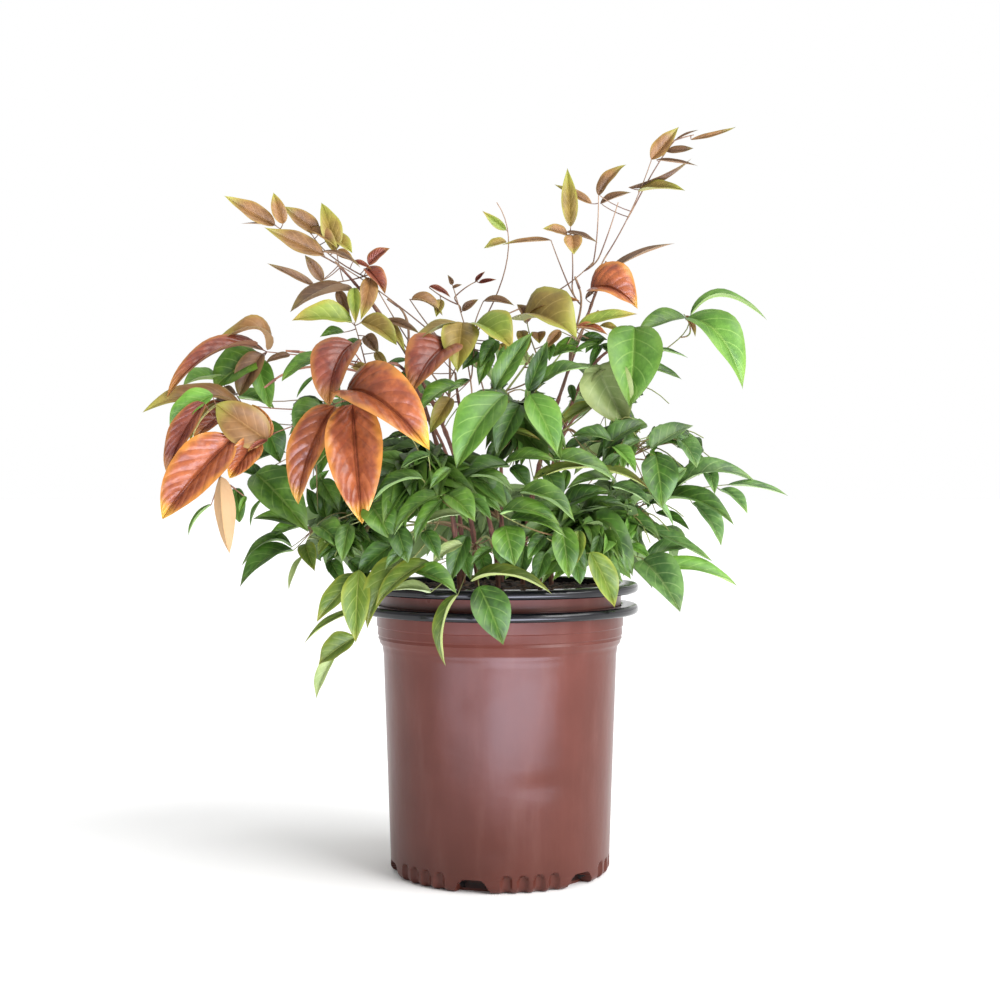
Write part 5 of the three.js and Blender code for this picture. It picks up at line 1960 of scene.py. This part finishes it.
class Spray:
    """One mass grown out: ribs, finer twigs and leaflets."""

    STEM = Gauge(0.9 * MM, 0.6 * MM, 4, 8)
    RIB = Gauge(0.6 * MM, 0.34 * MM, 9, 6)
    JOINT = Gauge(0.5 * MM, 0.5 * MM, 10, 6)  # where a bare stalk leaves its stem
    BARE = Gauge(0.5 * MM, 0.32 * MM, 14, 6)
    LEAD_TWIG = Gauge(0.34 * MM, 0.26 * MM, 8, 5)
    SIDE_TWIG = Gauge(0.34 * MM, 0.26 * MM, 4, 5)
    TWIG_SHARE = 0.16  # of a side blade's length, that its bare twig takes
    SIDE_LEAF = 0.58  # length of a trefoil's side leaflets, of its end leaflet's
    SIDE_TURN = (30.0, 52.0)
    JOIN = 8 * MM  # how far back along its stem a bare stalk leaves it
    EXTRA_REACH = (0.78, 0.95)
    EXTRA_TRIES = (1.0, 0.85, 0.7, 0.55)
    EXTRA_LEAF = (0.55, 0.8)  # length of the leaflets on finer ribs, of the mass's own
    EXTRA_ASIDE, EXTRA_BEND = 0.5, 0.3  # how far such a rib strays and bends, of a leaflet's length
    DOT_STEP = 2 * MM
    FACE_STRAY = 0.3  # how far a leaflet's upper side turns from its blade's
    WIDTHS = (0.88, 1.14)
    ARCHES = (0.6, 1.6)
    FOLDS = (0.6, 1.5)
    TWISTS = (-0.7, 0.7)
    # leaflets grown by the rule: a random tone, darker on the whole as painted shade inside the crown
    SHADES = (0.62, 1.0)
    WAVES = (0.04, 0.14)
    SIDE_LENGTHS = (0.85, 1.1)
    SIDE_SAGS = (0.05, 0.3)
    TWIG_RISE, TWIG_BOW, LEAD_TWIG_SAG = 0.03, 0.02, 0.08
    EXTRA_SEED, LEAD_SEED, TINT_SEED = 50021, 733, 4001
    OWN_TINT = 0.7  # how often a node's leaflets have their rib's tint
    SURFACE_BLEND = 20 * MM
    STALK_DEEPER = 6 * MM
    LONE_TWIG = 1.5 * MM  # a leaflet whose root is this near a stalk needs no twig

    def __init__(self, mass: Mass, number: int, room: Room) -> None:
        """Starts the spray of a mass.

        Args:
            mass: its plan.
            number: its place among the masses, which seeds its draws.
            room: the space that it may grow in.
        """
        self.mass = mass
        self.number = number
        self.room = room
        self.habit = mass.kind.value
        self.ribs: list[Rib] = []
        self.extra: list[Rib] = []
        self.leads = self._lay_leads()
        self.leaflets: list[Leaflet] = []
        self.twigs: list[Shape] = []

    def _surface(self, x: float, z: float) -> float:
        """The depth of the mass's surface where a place is seen, from the tips it reaches."""
        tips = self.mass.tips
        apart = np.sum((FRONT.seen(tips) - (x, z)) ** 2, axis=1)
        weights = 1 / (apart + self.SURFACE_BLEND**2)
        return float(np.sum(weights * tips[:, 1]) / np.sum(weights))

    def _lay_leads(self) -> list[Leaflet]:
        """The mass's leading leaflets."""
        draws = Draws(self.number + self.LEAD_SEED)
        own = [entry[1:] for entry in LEADS if entry[0] == self.mass.name]
        leads = [Lead(tint, *row) for tint, *rows in own for row in rows]
        leaflets = [lead.leaflet(self._surface, self.habit, draws) for lead in leads]
        # the mass's painted light and shade on top of each lead's random tone
        return [replace(leaflet, shade=leaflet.shade * self.mass.light) for leaflet in leaflets]

    def _bare_stalks(self) -> list[Bezier]:
        """The mass's bare stalks."""
        own = [rows for name, *rows in BARE_STALKS if name == self.mass.name]
        stalks = [[FRONT.read(*point) for point in stalk] for rows in own for stalk in rows]
        return [
            Bezier(np.array([
                FRONT.place(x, z, self._surface(x, z) + self.STALK_DEEPER) for x, z in stalk
            ]))
            for stalk in stalks
        ]

    def _rib(self, tip: np.ndarray, order: int, shift: np.ndarray, small: float = 1.0) -> Rib:
        """The rib that reaches a tip, bent aside by a shift, with leaflets of full or smaller size."""
        mass = self.mass
        reach = float(np.linalg.norm(tip - mass.fork))
        blade = min(mass.leaf * small, RULE.longest_blade * reach)
        share = max(1 - RULE.blade_share * blade / reach, RULE.short_rib)
        end = mass.fork + (tip - mass.fork) * share + UP * RULE.rib_end_rise * blade
        start = mass.fork - mass.ahead * (RULE.rib_root + RULE.rib_spacing * order)
        middle = (start + end) / 2
        bend = middle + UP * RULE.rib_arch * reach + shift
        return Rib(tip, blade, Bezier(np.array([start, 2 * bend - middle, end])))

    def grow_ribs(self, others: Sequence[Rib]) -> None:
        """Grows the mass's ribs clear of the limbs and of other masses' ribs."""
        dots = [rib.dots(Room.STEP) for rib in others]
        near = Near(np.concatenate(dots) if dots else np.empty((0, 3)))
        for order, tip in enumerate(self.mass.tips):
            for attempt in range(RULE.rib_tries):
                turn = attempt * RULE.try_turn
                aside = np.array([math.cos(turn), math.sin(turn), RULE.try_lift])
                rib = self._rib(tip, order, aside * RULE.try_shift * attempt)
                tested = rib.dots(Room.STEP)[RULE.root_points:]
                if all(self.room.is_free(p) and near.distance(p) > RULE.rib_clear for p in tested):
                    break
            self.ribs.append(rib)

    def grow_extra_ribs(self, outline: "Outline") -> None:
        """Adds finer ribs between the main ones, each as long as the plant's outline lets it be."""
        draws = Draws(self.number + self.EXTRA_SEED)
        tips = self.mass.tips
        middle = tips.mean(axis=0)
        after = np.roll(tips, 1, axis=0)
        targets = [*((tips + middle) / 2), *((tips + after) / 2), middle]
        for order, target in enumerate(targets):
            reach = draws.between(*self.EXTRA_REACH)
            aside = draws.offset() * self.mass.leaf * self.EXTRA_ASIDE
            shift = draws.offset() * self.mass.leaf * self.EXTRA_BEND
            small = draws.between(*self.EXTRA_LEAF)
            for share in self.EXTRA_TRIES:
                tip = self.mass.fork + ((target - self.mass.fork) * reach + aside) * share
                rib = self._rib(tip, order % 3, shift, small)
                dots = rib.curve.dotted(self.DOT_STEP)
                if outline.leaves_room(dots[len(dots) // 2:]):
                    self.extra.append(rib)
                    break

    @staticmethod
    def _blade(root: np.ndarray, way: np.ndarray, length: float, sag: float, draws: Draws) -> Blade:
        """A blade from its root, faced up, outward and a little off."""
        tip = root + way * length - UP * sag * length
        ahead = -RULE.look_ahead if root[1] < RULE.back_half else RULE.look_ahead
        outward = unit(np.array([root[0], root[1] + ahead, 0.0]))
        face = UP * RULE.face_up + outward + draws.offset() * RULE.face_spread
        return Blade(root, tip, unit(face))

    def _end_blade(self, rib: Rib, draws: Draws) -> Blade:
        """The blade at a rib's end, whose tip meets the rib's own."""
        end = rib.curve.points[-1]
        sag = RULE.sag if self.mass.pairs else RULE.big_sag
        way = rib.tip - end
        reach = float(np.linalg.norm(way))
        return self._blade(end, way / reach + UP * sag, reach, sag, draws)

    def _side_blade(self, rib: Rib, node: int, hand: int, attempt: int, draws: Draws) -> Blade:
        """A blade to one hand of a node, shorter towards the fork and at each new try."""
        share = RULE.outer_pair - RULE.pair_step * node
        rise = RULE.layer if node % 2 else -RULE.layer
        root = rib.curve.at(share)[0]
        along = rib.curve.ways(share)[0]
        turn = math.radians(RULE.blade_turn + RULE.turn_spread * (draws.next() - 0.5))
        lift = rise + RULE.rise_spread * (draws.next() - 0.5)
        aside = unit(np.cross(along, UP))
        way = unit(along * math.cos(turn) + aside * hand * math.sin(turn) + UP * lift)
        length = rib.blade * lerp(RULE.inner_share, RULE.outer_share, share)
        length *= lerp(*RULE.length_spread, draws.next())
        length *= lerp(1, RULE.last_try, attempt / RULE.blade_tries)
        return self._blade(root, way, length, RULE.sag * lerp(*RULE.sag_spread, draws.next()), draws)

    def _leaflet(self, blade: Blade, tint: Tint, draws: Draws) -> Leaflet:
        """A leaflet in a blade's place, with its own small differences."""
        habit = self.habit
        return Leaflet(
            blade.root, blade.tip, unit(blade.face + draws.offset() * self.FACE_STRAY), tint,
            width=habit.width * draws.between(*self.WIDTHS),
            arch=habit.arch * draws.between(*self.ARCHES),
            fold=habit.fold * draws.between(*self.FOLDS),
            twist=draws.between(*self.TWISTS),
            # random tone with painted shade inside the crown, times the mass's painted light and shade
            shade=draws.between(*self.SHADES) * self.mass.light,
            phase=draws.between(0, TURN),
            wave=draws.between(*self.WAVES),
            fine=habit.fine,
        )

    def _twig(self, points: Sequence[np.ndarray], gauge: Gauge) -> None:
        """Adds a tapering twig along the curve of some control points."""
        radius = tapered(gauge.foot, gauge.tip)
        curve = Bezier(np.array(points))
        self.twigs.append(TUBES.tube(curve, gauge.rings, gauge.sides, radius, self.habit.twig))

    def _fill(self, blade: Blade, tint: Tint, draws: Draws, outline: Outline) -> bool:
        """Puts a twig with one leaflet or three in a blade's place, if it fits the outline."""
        span = blade.tip - blade.root
        length = float(np.linalg.norm(span))
        ahead = span / length
        fork = blade.root + span * self.TWIG_SHARE + blade.face * length * self.TWIG_RISE
        first = self._leaflet(replace(blade, root=fork), tint, draws)
        if not outline.leaves_room(first.shape().corners):
            return False
        middle = (blade.root + fork) / 2 + UP * length * self.TWIG_BOW
        self._twig([blade.root, middle, fork + ahead * MM], self.SIDE_TWIG)
        self.leaflets.append(first)
        if draws.next() > self.habit.trefoils:
            return True
        side = unit(np.cross(ahead, blade.face))
        for hand in (-1, 1):
            turn = math.radians(draws.between(*self.SIDE_TURN))
            way = ahead * math.cos(turn) + side * hand * math.sin(turn)
            reach = length * self.SIDE_LEAF * draws.between(*self.SIDE_LENGTHS)
            tip = fork + unit(way) * reach - UP * reach * draws.between(*self.SIDE_SAGS)
            leaflet = self._leaflet(Blade(fork, tip, blade.face), tint, draws)
            if self.room.is_free(tip) and outline.leaves_room(leaflet.shape().corners):
                self.leaflets.append(leaflet)
        return True

    def grow_leads(self) -> None:
        """Adds the leading leaflets, each on a twig of its own from the nearest stalk."""
        stem = Bezier(np.array([self.mass.foot - self.mass.ahead * MM, self.mass.fork]))
        self._twig(stem.points, self.STEM)
        carriers = [stem]
        for stalk in self._bare_stalks():
            start = stalk.points[0]
            dots = np.concatenate([self.room.dots, *(curve.dotted(self.DOT_STEP) for curve in carriers)])
            way = stalk.ways(0.0)[0]
            gap = np.linalg.norm(nearest(dots, start) - start)
            carrier = nearest(dots, start - way * (gap * 2 + self.JOIN))
            lean = way * np.linalg.norm(carrier - start) * 0.5
            self._twig([carrier, start - lean, start], self.JOINT)
            self._twig(stalk.points, self.BARE)
            carriers.append(stalk)
        if self.habit.grown:
            carriers += [rib.curve for rib in (*self.ribs, *self.extra)]
        dots = np.concatenate([curve.dotted(self.DOT_STEP) for curve in carriers])
        for leaflet in self.leads:
            self.leaflets.append(leaflet)
            start = nearest(dots, leaflet.root)
            gap = float(np.linalg.norm(leaflet.root - start))
            if gap > self.LONE_TWIG:
                chord = leaflet.tip - leaflet.root
                middle = (start + leaflet.root) / 2 - UP * gap * self.LEAD_TWIG_SAG
                end = leaflet.root + unit(chord) * MM
                self._twig([start, middle, leaflet.root, end], self.LEAD_TWIG)

    def grow_leaflets(self, others: Sequence[Rib], outline: "Outline") -> None:
        """Grows the leaflets on the ribs and on the finer ribs, in the mass's own space.

        Args:
            others: the ribs of the other masses.
            outline: the leading leaflets of the whole plant.
        """
        own = Near(np.concatenate([rib.dots(Room.STEP) for rib in self.ribs]))
        apart = Near(np.concatenate([rib.dots(Room.STEP) for rib in others]))

        def fits(blade: Blade) -> bool:
            """Whether a blade stays in the mass's own space and clear of the limbs."""
            return outline.leaves_room(blade.points()) and all(
                own.distance(p) + RULE.space < apart.distance(p) and self.room.is_free(p)
                for p in blade.points()
            )

        first_seed = RULE.seed * (self.number + 1)
        colours = Draws(first_seed + self.TINT_SEED)
        seeds = itertools.count(first_seed)
        for rib in (*self.ribs, *self.extra):
            rib_tint = colours.pick(self.habit.tints)
            self._twig(rib.curve.points, self.RIB)
            draws = Draws(next(seeds))
            leaflet = self._leaflet(self._end_blade(rib, draws), rib_tint, draws)
            if outline.leaves_room(leaflet.shape().corners):
                self.leaflets.append(leaflet)
            for node in range(self.mass.pairs):
                own_tint = colours.next() < self.OWN_TINT
                tint = rib_tint if own_tint else colours.pick(self.habit.tints)
                for hand in (-1, 1):
                    draws = Draws(next(seeds))
                    for attempt in range(RULE.blade_tries):
                        blade = self._side_blade(rib, node, hand, attempt, draws)
                        if fits(blade) and self._fill(blade, tint, draws, outline):
                            break

    def build(self) -> None:
        """Builds the mass's leaflets as one piece and its twigs as another."""
        name = self.mass.name
        shapes = [leaflet.shape() for leaflet in self.leaflets]
        Piece(f"leaves_{name}", self.habit.slot, [f"foliage_{name}"], shapes).build()
        Piece(f"twigs_{name}", "bough", (), self.twigs).build()


# --- studio


def hang(name: str, data: Any, place: Sequence[float], way: Vector) -> None:
    """Hangs a lamp so that it shines in a direction."""
    hung = bpy.data.objects.new(name, data)
    hung.location = place
    hung.rotation_euler = way.to_track_quat("-Z", "Y").to_euler()
    bpy.context.scene.collection.objects.link(hung)


@dataclass(frozen=True)
class SoftBox:
    """A large soft studio lamp, aimed at the plant."""

    name: str
    place: tuple[float, float, float]
    aim: tuple[float, float, float]
    width: float
    height: float
    power: float
    tint: str = "ffffff"

    def build(self) -> None:
        """Hangs the lamp."""
        lamp = bpy.data.lights.new(self.name, "AREA")
        lamp.color = colour(self.tint)[:3]
        lamp.shape = "RECTANGLE"
        lamp.size, lamp.size_y = self.width, self.height
        lamp.energy = self.power
        hang(self.name, lamp, self.place, Vector(self.aim) - Vector(self.place))


@dataclass(frozen=True)
class Studio:
    """A plain pale floor, soft light all round, and the camera at the plant's front."""

    camera_dip: float = 0.43  # degrees below level
    lens: float = 57.6
    sensor: float = 36.0
    floor_radius: float = 30.0
    floor_sides: int = 96
    sun: float = 2.3
    sun_from: tuple[float, float, float] = (1.0, -0.6, 0.8)
    sun_spread: float = 50.0
    # how light the sky is towards each side: the axis, where the rise starts and ends, and its ends
    glows: tuple[tuple[str, float, float, float, float], ...] = (
        ("X", -0.3, 0.8, 0.02, 1.0),
        ("Y", 0.35, 0.8, 0.0, 1.0),
        ("Z", 0.35, 0.9, 0.0, 1.1),
    )
    boxes: tuple[SoftBox, ...] = (
        SoftBox("key", (0.95, -1.0, 0.7), (0, 0, 0.2), 0.7, 1.0, 9.0),
        SoftBox("reflector", (0.2, -0.58, 0.01), (0.2, -0.5799, 1.0), 0.54, 0.56, 12.5, "e4e8ff"),
        SoftBox("side_reflector", (-0.36, -0.58, 0.01), (-0.36, -0.5799, 1.0), 0.58, 0.56, 6.0,
                "e4e8ff"),
    )

    def build(self) -> None:
        """Sets the studio up."""
        self._floor()
        self._sky()
        self._sun()
        for box in self.boxes:
            box.build()
        self._camera()
        bpy.context.scene.view_settings.view_transform = "Standard"

    def _floor(self) -> None:
        """Lays a wide round floor."""
        edge = spokes(self.floor_sides)
        rim = np.stack([np.cos(edge), np.sin(edge), edge * 0], axis=1) * self.floor_radius
        mesh = bpy.data.meshes.new("floor")
        mesh.from_pydata(rim, [], [tuple(range(len(rim)))])
        mesh.materials.append(DRESSER.material(Plain.FLOOR))
        floor = bpy.data.objects.new("floor", mesh)
        bpy.context.scene.collection.objects.link(floor)

    def _sky(self) -> None:
        """Lights the scene evenly from all round."""
        world = bpy.data.worlds.new("soft_room")
        world.use_nodes = True
        nodes, links = world.node_tree.nodes, world.node_tree.links
        background = nodes["Background"]
        background.inputs["Color"].default_value = (1.0, 1.0, 1.0, 1.0)
        heading = nodes.new("ShaderNodeTexCoord")
        parts = nodes.new("ShaderNodeSeparateXYZ")
        links.new(heading.outputs["Generated"], parts.inputs["Vector"])
        lightest = None
        for axis, *numbers in self.glows:
            ramp = nodes.new("ShaderNodeMapRange")
            ramp.interpolation_type = "SMOOTHSTEP"
            links.new(parts.outputs[axis], ramp.inputs["Value"])
            for name, number in zip(("From Min", "From Max", "To Min", "To Max"), numbers, strict=True):
                ramp.inputs[name].default_value = number
            joined = nodes.new("ShaderNodeMath")
            joined.operation = "MAXIMUM"
            links.new(ramp.outputs["Result"], joined.inputs[0])
            if lightest:
                links.new(lightest.outputs["Value"], joined.inputs[1])
            lightest = joined
        links.new(lightest.outputs["Value"], background.inputs["Strength"])
        bpy.context.scene.world = world

    def _sun(self) -> None:
        """Hangs a wide, far lamp over the plant's right front."""
        lamp = bpy.data.lights.new("sun", "SUN")
        lamp.energy = self.sun
        lamp.angle = math.radians(self.sun_spread)
        hang("sun", lamp, (0, 0, 0), -Vector(self.sun_from))

    def _camera(self) -> None:
        """Stands the camera in front of the plant."""
        lens = bpy.data.cameras.new("front")
        lens.lens, lens.sensor_width = self.lens, self.sensor
        camera = bpy.data.objects.new("front", lens)
        camera.location = (0.0, -FRONT.distance, FRONT.height)
        camera.rotation_euler = (math.radians(90 - self.camera_dip), 0.0, 0.0)
        bpy.context.scene.collection.objects.link(camera)
        bpy.context.scene.camera = camera


# --- main


def main() -> None:
    """Builds the studio, the pots, the potting mix and the plant, in that order."""
    logging.basicConfig(level=logging.INFO, format="%(name)s %(message)s")
    Studio().build()
    dents = (
        Dent(-105.0, 118 * MM, 7 * MM, 15 * MM, 0.8 * MM),
        Dent(-69.0, 61 * MM, 16 * MM, 6 * MM, 0.7 * MM),
        Dent(-95.0, 24 * MM, 12 * MM, 8 * MM, 0.6 * MM),
        Dent(70.0, 90 * MM, 14 * MM, 10 * MM, 0.8 * MM),
    )
    NurseryPot("pot_outer_wall", "outer_pot", dents=dents).build()
    NurseryPot("pot_inner_wall", "inner_pot", lift=12.8 * MM, shrink=1.3 * MM, columns=192).build()
    BarkMix().build()
    Clump().build()


if __name__ == "__main__":
    main()
